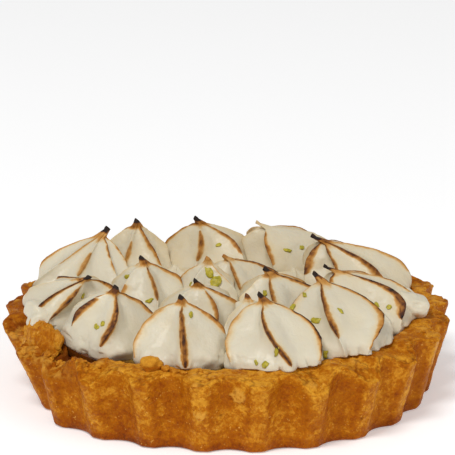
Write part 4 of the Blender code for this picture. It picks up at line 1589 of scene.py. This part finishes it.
@dataclass(frozen=True)
class KissField:
    """All the kisses, and the rules that give each its surface where it meets the others and the rim.

    Spans without MM are shares of a kiss's height, and hollows are shares of its radius.
    """

    rim: RimRules
    kisses: tuple[Kiss, ...] = KISSES
    shape: KissShape = KissShape()
    torch: Torch = Torch()
    seed: int = 5
    columns_per_rib: int = 30
    levels: int = 92
    level_power: float = 1.6
    top_share: float = 0.9985
    twist_span: Span = (0.08, 0.85)
    crowding: float = 0.62
    sink: float = 0.4 * MM
    foot_hollow: float = 0.06
    panel_hollow: float = 0.31
    panel_power: float = 0.78
    panel_span: Span = (0.05, 0.62)
    panel_width: float = 60.0
    panel_width_span: Span = (0.5, 1.3)
    panel_luck: Span = (0.75, 1.25)
    spike_span: Span = (0.84, 0.95)
    spike_calm: float = 0.75
    full_relief_radius: float = 3.0 * MM
    swells: tuple[Noise, ...] = (
        Noise(0.42 * MM, 5.0 * MM, 81), Noise(0.26 * MM, 2.4 * MM, 83),
        Noise(0.09 * MM, 1.0 * MM, 84, 2, 0.3))
    frill: Noise = Noise(0.90 * MM, 3.2 * MM, 85)
    frill_span: Span = (0.8 * MM, 4.8 * MM)
    folds: Noise = Noise(1.0, 3.0 * MM, 86, 1, 0.5)
    fold_width: float = 0.15
    fold_level: float = 0.35
    fold_height: float = 0.70 * MM
    fold_span: Span = (1.8 * MM, 4.6 * MM)
    bead_height: float = 0.34 * MM
    bead_width: float = 0.40 * MM
    bead_span: Span = (0.04, 0.3)
    blisters: Noise = Noise(0.15 * MM, 0.9 * MM, 87, 2)
    blister_span: Span = (0.25, 0.6)
    blister_least: float = 0.25
    nearest_share: float = 0.15
    overlap: float = 0.14 * MM
    crease: float = 0.30 * MM
    crease_share: float = 0.2
    radius_least: float = 0.02 * MM
    draw_share: float = 0.85
    draw_softness: float = 0.04
    cut_softness: float = 0.8 * MM
    cut_softness_share: float = 0.3
    inner_softness: float = 0.05 * MM
    rim_softness: float = 0.35 * MM
    rim_softness_span: Span = (0.0, 1.0 * MM)

    def all_ribs(self, kiss: Kiss) -> list[Rib]:
        """Finds six ribs: the given ones by bearing, and others evenly behind, marked by chance.

        Args:
            kiss: the kiss.

        Returns:
            The ribs.
        """
        given = sorted(kiss.ribs, key=lambda rib: rib.top)
        missing = RIB_COUNT - len(given)
        draw = np.random.default_rng(self.seed + kiss.number)
        first, last = given[0], given[-1]
        behind = []
        for place in range(1, missing + 1):
            share = place / (missing + 1)
            top = last.top + (first.top + 360.0 - last.top) * share + draw.uniform(-4.0, 4.0)
            foot = last.foot + (first.foot + 360.0 - last.foot) * share + draw.uniform(-4.0, 4.0)
            backwards = max(0.0, -math.cos(math.radians(foot)))
            torched = kiss.torched * (0.22 + 0.78 * backwards**2)
            width = draw.uniform(0.6, 1.4) * (0.5 + 0.5 * backwards)
            behind.append(Rib(
                top=top, foot=foot, low=draw.uniform(0.2, 0.5), high=draw.uniform(0.80, 0.90),
                left=width, right=width * draw.uniform(0.7, 1.3), brown=torched * draw.uniform(0.40, 0.58),
                line=torched * draw.uniform(0.2, 0.95), inset=draw.uniform(-0.5, 0.8)))
        return given + behind

    def grid(self, kiss: Kiss, ribs: list[Rib]) -> KissGrid:
        """Lays out a kiss's levels and columns.

        Columns follow the ribs as they twist, and a sine crowds them by each rib. Levels crowd towards
        the tip, as a power of their number.

        Args:
            kiss: the kiss.
            ribs: its ribs.

        Returns:
            The grid.
        """
        even = np.linspace(0.0, 1.0, self.levels)
        share = 0.5 * even + 0.5 * (1.0 - (1.0 - even) ** self.level_power)
        share[-1] = self.top_share
        heights = self.shape.base + share * self.shape.height(kiss)
        reach = self.shape.reach(kiss, heights)
        tops = np.array([rib.top for rib in ribs] + [ribs[0].top + 360.0])
        feet = np.array([rib.foot for rib in ribs] + [ribs[0].foot + 360.0])
        lines = np.radians(feet + (tops - feet) * eased(*self.twist_span, share[:, None]))
        sector = np.repeat(np.arange(RIB_COUNT), self.columns_per_rib)
        part = np.tile(np.arange(self.columns_per_rib) / self.columns_per_rib, RIB_COUNT)
        part = part - self.crowding * np.sin(TURN * part) / TURN
        width = (lines[:, 1:] - lines[:, :-1])[:, sector]
        bearings = lines[:, sector] + width * part
        first_half = part < 0.5
        return KissGrid(
            kiss=kiss, share=share[:, None], heights=heights, reach=reach,
            axis=self.shape.axis(kiss, heights),
            sector=sector, part=part, nearest=np.where(first_half, sector, (sector + 1) % RIB_COUNT),
            side=np.where(first_half, 1, -1), width=width,
            away=width * np.where(first_half, part, 1.0 - part) * reach[:, None],
            along=np.stack([np.sin(bearings), -np.cos(bearings)], axis=-1))

    def hollowed(self, grid: KissGrid) -> Array:
        """Hollows the panels between the ribs by a power of a sine, each by its luck.

        Args:
            grid: the kiss's grid.

        Returns:
            Radii of shape (levels, columns).
        """
        star = np.abs(np.sin(math.pi * grid.part)) ** self.panel_power
        narrow = np.clip(grid.width / math.radians(self.panel_width), *self.panel_width_span)
        draw = np.random.default_rng(self.seed + 40 + grid.kiss.number)
        uneven = draw.uniform(*self.panel_luck, RIB_COUNT)[grid.sector]
        panel = self.panel_hollow * eased(*self.panel_span, grid.share) * narrow * uneven
        calm = 1.0 - self.spike_calm * eased(*self.spike_span, grid.share)
        return grid.reach[:, None] * (1.0 - (self.foot_hollow + panel) * calm * star)

    def relief(self, grid: KissGrid, spot: Array, toast: Array) -> Array:
        """Works out a kiss's relief: swells, a frilled and folded foot, beads on the crests and blisters.

        A fold is a groove where a random field is nought, and a bead is a bell curve.

        Args:
            grid: the kiss's grid.
            spot: points that the random fields are read at.
            toast: toast values.

        Returns:
            What the relief adds to the radii.
        """
        body = np.clip(grid.reach[:, None] / self.full_relief_radius, 0.0, 1.0)
        above_foot = grid.heights[:, None] - self.shape.base
        fold = self.fold_level - np.exp(-((self.folds.at(spot) / self.fold_width) ** 2))
        frill = self.frill.at(spot) * (1.0 - eased(*self.frill_span, above_foot))
        frill = frill + self.fold_height * fold * (1.0 - eased(*self.fold_span, above_foot))
        bead = self.bead_height * np.exp(-((grid.away / self.bead_width) ** 2))
        bead = bead * eased(*self.bead_span, grid.share)
        blister = self.blisters.at(spot) * eased(*self.blister_span, toast)
        relief = body * (layered(self.swells, spot) + frill + bead)
        return relief + np.clip(body, self.blister_least, 1.0) * blister

    def clipped(self, grid: KissGrid, radii: Array) -> Array:
        """Holds a kiss's radii back where it meets its neighbours, rounded over into the crease.

        At each height two kisses meet on the line through the points where their circles cross.

        Args:
            grid: the kiss's grid.
            radii: radii of shape (levels, columns).

        Returns:
            The new radii.
        """
        for other in self.kisses:
            if other is grid.kiss:
                continue
            other_reach = self.shape.reach(other, grid.heights)
            apart = self.shape.axis(other, grid.heights) - grid.axis
            distance = np.linalg.norm(apart, axis=1)
            divide = (distance**2 + grid.reach**2 - other_reach**2) / (2.0 * distance)
            divide = np.clip(divide, self.nearest_share * distance, (1.0 - self.nearest_share) * distance)
            divide = np.where(other_reach > 0.0, divide + self.overlap, 1.0)
            facing = np.einsum("li,lci->lc", apart / distance[:, None], grid.along)
            softness = np.minimum(self.crease, self.crease_share * grid.reach)[:, None]
            radii = soft_least(radii, divide[:, None] / np.maximum(facing, 1e-3), softness)
        return np.maximum(radii, self.radius_least)

    def drawn_in(self, grid: KissGrid, radii: Array) -> Array:
        """Draws a kiss in where its foot would pass the overhang, so that its side stays a dome.

        The way out to the overhang's circle is the root of a quadratic. The radii are a blend of two:
        shrunk by the share of the foot that fits, and softly cut at the circle.

        Args:
            grid: the kiss's grid.
            radii: radii of shape (levels, columns).

        Returns:
            The new radii.
        """
        full = grid.kiss.radius * MM
        foot = grid.axis[:1, None, :] + full * grid.along
        inward = np.einsum("li,lci->lc", grid.axis, grid.along)
        room = self.rim.overhang_limit(bearings_of(foot)) ** 2
        room = room - (np.linalg.norm(grid.axis, axis=1) ** 2)[:, None] + inward**2
        way = np.sqrt(np.maximum(room, TINY)) - inward
        share = soft_least(np.ones_like(way), way / full, self.draw_softness)
        cut = soft_least(radii, way, np.minimum(self.cut_softness, self.cut_softness_share * radii))
        return self.draw_share * radii * share + (1.0 - self.draw_share) * cut

    def laid_on_rim(self, grid: KissGrid, radii: Array) -> Array:
        """Holds a kiss inside the rim and lays what hangs over it on the rim.

        Args:
            grid: the kiss's grid.
            radii: radii of shape (levels, columns).

        Returns:
            Points of shape (levels, columns, 3).
        """
        heights = grid.heights[:, None]
        flat = grid.flat(radii)
        out = np.linalg.norm(flat, axis=2)
        around = bearings_of(flat)
        above_rim = eased(*self.rim_softness_span, heights - self.rim.case.height)
        softness = self.inner_softness + self.rim_softness * above_rim
        held = soft_least(out, self.rim.limit(around, heights), softness)
        over_rim = held > self.rim.inside(around) + self.rim.clearance
        tall = np.where(over_rim, np.maximum(heights, self.rim.surface(around)), heights)
        return np.concatenate([flat * (held / out)[..., None], tall[..., None]], axis=2)

    def surface(self, kiss: Kiss) -> tuple[Array, Array]:
        """Works out one kiss as a grid over share of height and place between ribs.

        Args:
            kiss: the kiss.

        Returns:
            Points of shape (levels, columns, 3), and the toast value of each.
        """
        ribs = self.all_ribs(kiss)
        grid = self.grid(kiss, ribs)
        radii = self.hollowed(grid)
        level = np.broadcast_to(grid.heights[:, None, None], (*radii.shape, 1))
        spot = np.concatenate([grid.flat(radii), level], axis=-1)
        toast = self.torch.marks(ribs, grid, spot)
        radii = self.clipped(grid, radii + self.relief(grid, spot, toast))
        skin = self.laid_on_rim(grid, self.drawn_in(grid, radii))
        toast = self.torch.tinted(grid, spot, toast)
        foot = skin[:1] - [0.0, 0.0, self.sink]
        return np.concatenate([foot, skin]), np.clip(np.concatenate([toast[:1], toast]), 0.0, 1.0)

    def build(self, material: Material) -> None:
        """Makes every kiss and lets it stand for its solid.

        Args:
            material: the meringue.
        """
        for kiss in self.kisses:
            skin, toast = self.surface(kiss)
            name = f"kiss_{kiss.number:02d}"
            foot = np.append(skin[0].mean(axis=0)[:2], skin[0, 0, 2])
            tip = np.append(skin[-1].mean(axis=0)[:2], kiss.tip[2] * MM)
            mesh = closed_skin(name, skin, foot, tip)
            paint(mesh, "toast", toast, (0.0, kiss.char))
            piece = show(name, mesh, material)
            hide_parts(f"meringue_kiss_{kiss.number:02d}")


@dataclass(frozen=True)
class Lump:
    """A small closed lump: its place, its half sizes and the three directions that they lie along."""

    place: Array
    sizes: Array
    directions: Array


@dataclass(frozen=True)
class LumpHeap:
    """Many small lumps joined in one mesh, each a sphere pulled out of shape by noise."""

    around: int
    up: int
    roughness: float
    cell: float
    boxiness: float
    apart: Triple = (7.3, 3.1, 5.7)

    def mesh(self, name: str, lumps: list[Lump], seed: int) -> Mesh:
        """Joins the lumps: unit spheres, squared off, pulled by noise, scaled, turned and moved.

        Args:
            name: the mesh's name.
            lumps: the lumps.
            seed: picks the noise.

        Returns:
            The mesh.
        """
        ball = ball_points(self.around, self.up)
        number = np.arange(len(lumps))[:, None, None]
        moved = ball[None] + number * np.array(self.apart)
        pull = 1.0 + self.roughness * rough_noise(moved, self.cell, seed, 2)
        sizes = np.array([lump.sizes for lump in lumps])[:, None, :]
        directions = np.array([lump.directions for lump in lumps])
        places = np.array([lump.place for lump in lumps])[:, None, :]
        local = squared_off(ball, self.boxiness)[None] * pull[..., None] * sizes
        points = np.einsum("nvi,nij->nvj", local, directions) + places
        quads, triangles = (faces[None] + number * len(ball) for faces in ringed_faces(self.up, self.around))
        return mesh_of(name, points.reshape(-1, 3), quads.reshape(-1, 4), triangles.reshape(-1, 3))


def turned_directions(outward: Array, spin: float) -> Array:
    """Works out three directions at right angles, of which the last is the given one.

    Args:
        outward: the direction away from a surface.
        spin: how far the other two are turned in the surface, in radians.

    Returns:
        The directions as rows: two along the surface, and the outward one.
    """
    outward = outward / np.linalg.norm(outward)
    level = np.cross(outward, [0.0, 0.0, 1.0])
    length = np.linalg.norm(level)
    level = level / length if length > 1e-6 else np.array([1.0, 0.0, 0.0])
    first = math.cos(spin) * level + math.sin(spin) * np.cross(outward, level)
    return np.array([first, np.cross(outward, first), outward])


@dataclass(frozen=True)
class MeringueDab:
    """A plain dab of meringue that hangs over the rim beside a kiss. Its nub's place is from its middle."""

    name: str
    middle: Triple
    half_sizes: Triple
    nub: float = 0.0
    nub_place: Triple = (-0.6 * MM, 2.2 * MM, 1.9 * MM)
    nub_span: Span = (0.3 * MM, 1.9 * MM)
    facing: Triple = (0.25, 0.0, 1.0)
    spin: float = math.radians(20.0)
    heap: LumpHeap = LumpHeap(around=72, up=48, roughness=0.42, cell=0.8, boxiness=0.85)
    seed: int = 3

    def build(self, material: Material) -> None:
        """Makes the dab: a sphere pulled gently out of shape, with a small nub at its upper end.

        Args:
            material: the meringue.
        """
        middle = np.array(self.middle)
        directions = turned_directions(np.array(self.facing), self.spin)
        mesh = self.heap.mesh(self.name, [Lump(middle, np.array(self.half_sizes), directions)], self.seed)
        points = np.empty(len(mesh.vertices) * 3)
        mesh.vertices.foreach_get("co", points)
        points = points.reshape(-1, 3)
        off = np.linalg.norm(points - (middle + np.array(self.nub_place)), axis=1)
        points[:, 2] += self.nub * (1.0 - eased(*self.nub_span, off))
        mesh.vertices.foreach_set("co", points.ravel())
        paint(mesh, "toast", np.zeros(len(points)))
        show(self.name, mesh, material)


DABS = (
    MeringueDab("meringue_dab", (40.6 * MM, -5.2 * MM, 19.9 * MM), (3.9 * MM, 3.6 * MM, 3.0 * MM), 0.9 * MM),
    MeringueDab("meringue_lobe", (-39.6 * MM, -10.4 * MM, 18.8 * MM), (4.2 * MM, 4.7 * MM, 3.3 * MM)),
)


@dataclass(frozen=True)
class RimShard:
    """The piece of rim that broke off and leans inwards on the meringue, outer face up.

    arch is how much its top rises in the middle, and crease how far it is bent back from a crease.
    """

    middle: Triple = (-41.2 * MM, -16.8 * MM, 15.0 * MM)
    along: Triple = (0.55, -0.80, 0.20)
    lean: float = math.radians(14.0)
    half_length: float = 7.9 * MM
    half_height: float = 3.2 * MM
    half_thickness: float = 1.3 * MM
    thinning: float = 0.25
    powers: Triple = (0.62, 0.62, 0.45)
    arch: float = 1.9 * MM
    arch_place: float = -0.12
    arch_power: float = 1.7
    crease: float = 1.1 * MM
    crease_place: float = -0.10
    crease_slant: float = 0.25
    edge_span: Span = (0.55, 1.0)
    tear_size: float = 1.7 * MM
    edge_tear: float = 0.75 * MM
    face_tear: float = 0.12 * MM
    step_cell: float = 1.3 * MM
    edge_step: float = 0.9 * MM
    tone: float = 0.17
    # right_tone is painted shade on the facet right of the crease
    right_tone: float = 0.13
    right_span: Span = (-0.25, 0.05)
    edge_tone: float = -0.12
    edge_crumb: float = 0.7
    crumb_span: Span = (0.3, 0.6)
    around: int = 150
    up: int = 90
    seed: int = 63

    def directions(self) -> Array:
        """Returns the shard's directions along, up and through it, as rows."""
        along = np.array(self.along) / np.linalg.norm(self.along)
        outward = np.cross(along, [0.0, 0.0, 1.0])
        outward = outward / np.linalg.norm(outward)
        through = outward * math.cos(self.lean) + np.array([0.0, 0.0, math.sin(self.lean)])
        return np.array([along, np.cross(through, along), through])

    def build(self, material: Material) -> None:
        """Makes the shard: a squared-off sphere flattened to a plate, whose top edge falls away to both ends.

        The plate is bent at an upright crease, and its broken edges are torn by noise.

        Args:
            material: the pastry.
        """
        u, v, w = squared_off(ball_points(self.around, self.up), np.array(self.powers)).T
        arch = self.arch * (1.0 - np.abs(u - self.arch_place) ** self.arch_power)
        height = v * self.half_height + np.clip(v, 0.0, 1.0) * arch
        slanted = u + self.crease_slant * v
        depth = w * self.half_thickness * (1.0 - self.thinning * u * u)
        depth = depth - self.crease * np.abs(slanted - self.crease_place)
        local = np.stack([u * self.half_length, height, depth], axis=-1)
        edge = eased(*self.edge_span, np.maximum(np.abs(u), np.abs(v)))
        seeds = (self.seed, self.seed + 10, self.seed + 20)
        torn = np.stack([rough_noise(local, self.tear_size, seed, 3) for seed in seeds], axis=-1)
        _, step = nearest_spot(local, self.step_cell, self.seed + 5)
        local = local + torn * (self.edge_tear * edge + self.face_tear)[:, None]
        local[:, 1] += self.edge_step * (step - 0.5) * edge
        points = local @ self.directions() + np.array(self.middle)
        mesh = mesh_of("rim_shard", points, *ringed_faces(self.up, self.around))
        # painted shade: the facet right of the crease is darker
        tone = self.tone + self.right_tone * eased(*self.right_span, slanted) + self.edge_tone * edge
        paint(mesh, "browning_and_shade", tone)
        paint(mesh, "pit", np.zeros(len(points)))
        paint(mesh, "crumb", self.edge_crumb * edge * eased(*self.crumb_span, step))
        show("rim_shard", mesh, material)


@dataclass(frozen=True)
class ZestScatter:
    """Flecks of zest on the kisses: kiss number, bearing there in degrees, share of its height."""

    field: KissField
    flecks: tuple[tuple[int, float, float], ...] = (
        (1, 42, 0.72), (2, -22, 0.19), (2, -11, 0.18), (2, 4, 0.35), (3, -94, 0.70), (3, -88, 0.56),
        (3, -43, 0.47), (3, 17, 0.61), (3, -17, 0.12), (4, 16, 0.43), (4, 35, 0.41), (5, -170, 0.40),
        (7, 7, 0.60), (7, 48, 0.58), (7, 160, 0.38), (8, 30, 0.56), (8, 150, 0.44), (9, 176, 0.34),
        (10, -110, 0.36), (11, 26, 0.62), (12, -26, 0.42), (12, -6, 0.48), (13, -80, 0.66), (13, 3, 0.42),
        (16, -36, 0.64), (17, -56, 0.56), (17, 24, 0.76), (17, 41, 0.62), (17, 65, 0.52), (18, -14, 0.59),
        (18, 150, 0.60),
    )
    large: tuple[tuple[int, int], ...] = ((17, 24), (3, -43), (12, -26))
    large_scale: float = 1.45
    clump: tuple[int, int] = (17, 41)
    clump_scale: float = 2.1
    half_sizes: Triple = (0.74 * MM, 0.56 * MM, 0.24 * MM)
    scales: Span = (0.7, 1.05)
    stretches: Span = (0.8, 1.4)
    lift: float = 0.10 * MM
    search_radius: float = 6.0 * MM
    heap: LumpHeap = LumpHeap(around=18, up=10, roughness=0.85, cell=0.75, boxiness=0.8)
    seed: int = 19
    finish: CitrusZest = CitrusZest()

    def grown(self, fleck: tuple[int, float]) -> float:
        """Returns how much larger than the others the fleck at a kiss's bearing is."""
        if fleck == self.clump:
            return self.clump_scale
        return self.large_scale if fleck in self.large else 1.0

    def spot_on(self, kiss: Kiss, skin: Array, degrees: float, share: float) -> tuple[int, int]:
        """Finds the point of a kiss's grid that is nearest to a bearing and a share of its height.

        The miss is the square of the miss in height, plus that of the bearing's on the search radius.

        Args:
            kiss: the kiss.
            skin: its points, shape (levels, columns, 3).
            degrees: bearing from the kiss's own middle.
            share: share of its height.

        Returns:
            The point's level and column.
        """
        shape = self.field.shape
        height = shape.base + share * shape.height(kiss)
        middle = shape.axis(kiss, np.array([height]))[0]
        bearing = math.radians(degrees)
        flat = skin[..., :2] - middle
        out = np.maximum(np.hypot(flat[..., 0], flat[..., 1]), TINY)
        off = 1.0 - (flat @ np.array([math.sin(bearing), -math.cos(bearing)])) / out
        miss = 2.0 * self.search_radius**2 * off + (skin[..., 2] - height) ** 2
        return np.unravel_index(np.argmin(miss), miss.shape)

    def lumps(self) -> list[Lump]:
        """Places each fleck flat on its kiss, where the kiss's own grid passes its bearing and height."""
        draw = np.random.default_rng(self.seed)
        skins = {kiss.number: (kiss, self.field.surface(kiss)[0]) for kiss in self.field.kisses}
        found = []
        for number, degrees, share in self.flecks:
            kiss, skin = skins[number]
            spot = self.spot_on(kiss, skin, degrees, share)
            outward = grid_normals(skin)[spot]
            scale = self.grown((number, degrees)) * draw.uniform(*self.scales)
            stretch = draw.uniform(*self.stretches)
            sizes = np.array(self.half_sizes) * scale * np.array([stretch, 1.0 / math.sqrt(stretch), 1.0])
            directions = turned_directions(outward, draw.uniform(0.0, math.pi))
            found.append(Lump(skin[spot] + outward * self.lift, sizes, directions))
        return found

    def build(self) -> None:
        """Makes all the zest as one piece."""
        show("lemon_zest", self.heap.mesh("lemon_zest", self.lumps(), self.seed), self.finish.material())


@dataclass(frozen=True)
class PastryCrumbs:
    """Crumbs on the rim: the large one at the front, smaller ones by it, and those of the break.

    The large ones have a bearing in degrees, a radius and a half length, and the small ones spans of
    radius and half size in mm.
    """

    case: PastryCase
    large: tuple[Triple, ...] = (
        (-21.3, 43.2 * MM, 2.35 * MM), (-17.0, 44.0 * MM, 1.0 * MM), (-14.6, 44.6 * MM, 0.8 * MM),
        (-12.4, 44.2 * MM, 0.6 * MM), (-74.0, 47.6 * MM, 0.8 * MM), (-64.0, 47.4 * MM, 0.7 * MM),
        (-57.0, 46.2 * MM, 0.7 * MM), (-53.5, 44.9 * MM, 0.9 * MM), (-49.0, 44.4 * MM, 0.6 * MM),
        (-106.0, 48.6 * MM, 1.2 * MM), (-103.0, 47.6 * MM, 0.9 * MM), (-109.0, 47.0 * MM, 0.8 * MM),
    )
    small_count: int = 56
    by_break_share: float = 0.55
    by_break: tuple[Span, Span] = ((42.0, 46.5), (0.25, 0.75))
    elsewhere: tuple[Span, Span] = ((43.0, 47.0), (0.25, 0.5))
    break_bearing: float = -60.0
    break_spread: float = 12.0
    pale_tone: float = 0.06
    pale_above: float = 1.5 * MM
    tones: Span = (0.14, 0.36)
    crumb: float = 0.3
    flatness: float = 0.80
    sink: float = 0.4 * MM
    sink_share: float = 0.4
    facing: Triple = (0.15, 0.1, 1.0)
    drop: float = 10.0 * MM
    heap: LumpHeap = LumpHeap(around=22, up=14, roughness=0.60, cell=0.75, boxiness=0.90)
    seed: int = 31

    def scattered(self, draw: np.random.Generator) -> list[Triple]:
        """Lists bearing, radius and half length of every crumb: the large ones, then the small by chance."""
        rows = list(self.large)
        for _ in range(self.small_count):
            broken = draw.random() < self.by_break_share
            radii, sizes = self.by_break if broken else self.elsewhere
            near = (self.break_bearing, self.break_spread)
            bearing = draw.normal(*near) if broken else draw.uniform(-180.0, 180.0)
            radius = draw.uniform(*radii)
            rows.append((bearing, radius * MM, draw.uniform(*sizes) * MM))
        return rows

    def build(self, case_piece: Object) -> None:
        """Rests each crumb on the case: the height there is read straight down on the finished case.

        Args:
            case_piece: the finished case, whose pastry the crumbs have too.
        """
        draw = np.random.default_rng(self.seed)
        lumps, tones = [], []
        for degrees, radius, size in self.scattered(draw):
            bearing = math.radians(degrees)
            start = at_bearing(np.array(bearing), np.array(radius), np.array(self.case.height + self.drop))
            hit, place, _, _ = case_piece.ray_cast(start, (0.0, 0.0, -1.0))
            if not hit:
                continue
            flat = self.flatness * size
            above = flat - min(self.sink, self.sink_share * size)
            directions = turned_directions(np.array(self.facing), bearing + draw.uniform(0.0, 1.5))
            lumps.append(Lump(np.array(place) + [0.0, 0.0, above], np.array([size, flat, flat]), directions))
            tones.append(self.pale_tone if size > self.pale_above else draw.uniform(*self.tones))
        mesh = self.heap.mesh("pastry_crumbs", lumps, self.seed)
        paint(mesh, "browning_and_shade", np.repeat(tones, len(mesh.vertices) // len(lumps)))
        paint(mesh, "pit", np.zeros(len(mesh.vertices)))
        paint(mesh, "crumb", np.full(len(mesh.vertices), self.crumb))
        show("pastry_crumbs", mesh, case_piece.data.materials[0])


@dataclass(frozen=True)
class SoftLight:
    """One large white lamp: where it stands, its side in metres and its power. It faces the tart."""

    name: str
    place: Triple
    side: float
    power: float

    def build(self) -> None:
        """Makes the lamp, turned so that its own -Z looks at the middle of the tart."""
        lamp = bpy.data.lights.new(self.name, "AREA")
        lamp.shape = "SQUARE"
        lamp.size = self.side
        lamp.energy = self.power
        holder = put_in_scene(self.name, lamp)
        x, y, z = self.place
        holder.location = self.place
        holder.rotation_euler = (math.atan2(math.hypot(x, y), z), 0.0, math.atan2(x, -y))
        holder.visible_camera = False


@dataclass(frozen=True)
class Studio:
    """A pale floor, soft light and the photograph's camera, which stands in front and looks down."""

    paper: StudioPaper = StudioPaper()
    floor_side: float = 8.0
    floor_drop: float = 0.05 * MM
    sky: Colour = (1.0, 1.0, 1.0)
    sky_strength: float = 0.362
    camera_place: Triple = (0.228 * MM, -785.761 * MM, 279.683 * MM)
    camera_tilt: float = math.radians(72.787)
    sensor_width: float = 36.0
    lens: float = 293.85
    clip: Span = (0.05, 12.0)
    lamps: tuple[SoftLight, ...] = (
        SoftLight("key_light", (-0.33, -0.62, 1.02), 0.42, 8.0),
        SoftLight("fill_light", (0.9, -0.7, 0.7), 0.9, 3.4),
    )

    def build_floor(self) -> None:
        """Lays the floor just under the tart."""
        half = self.floor_side / 2.0
        corners = np.array([(-half, -half), (half, -half), (half, half), (-half, half)])
        points = np.column_stack([corners, np.full(4, -self.floor_drop)])
        mesh = mesh_of("studio_floor", points, np.array([[0, 1, 2, 3]]), np.zeros((0, 3), int))
        mesh.materials.append(self.paper.material())
        floor = put_in_scene("studio_floor", mesh)

    def build_camera(self) -> None:
        """Makes the camera at the photograph's viewing angle."""
        data = bpy.data.cameras.new("photo_camera")
        data.sensor_width = self.sensor_width
        data.lens = self.lens
        data.clip_start, data.clip_end = self.clip
        camera = put_in_scene("photo_camera", data)
        camera.location = self.camera_place
        camera.rotation_euler = (self.camera_tilt, 0.0, 0.0)
        bpy.context.scene.camera = camera

    def build(self) -> None:
        """Makes the floor, the sky, the lamps and the camera, with plain colours for the view."""
        scene = bpy.context.scene
        world = bpy.data.worlds.new("soft_sky")
        world.use_nodes = True
        backdrop = world.node_tree.nodes["Background"]
        backdrop.inputs["Color"].default_value = (*self.sky, 1.0)
        backdrop.inputs["Strength"].default_value = self.sky_strength
        scene.world = world
        scene.view_settings.view_transform = "Standard"
        self.build_floor()
        self.build_camera()
        for lamp in self.lamps:
            lamp.build()


def main() -> None:
    """Builds the tart's surfaces in order, then the studio."""
    case = PastryCase()
    case_piece = CrustSkin(case).build()
    LemonFilling(case).build()
    field = KissField(RimRules(case))
    meringue = ToastedMeringue().material()
    field.build(meringue)
    for dab in DABS:
        dab.build(meringue)
    RimShard().build(case_piece.data.materials[0])
    ZestScatter(field).build()
    bpy.context.view_layer.update()
    PastryCrumbs(case).build(case_piece)
    Studio().build()


if __name__ == "__main__":
    logging.basicConfig(level=logging.INFO, format="%(name)s: %(message)s")
    main()
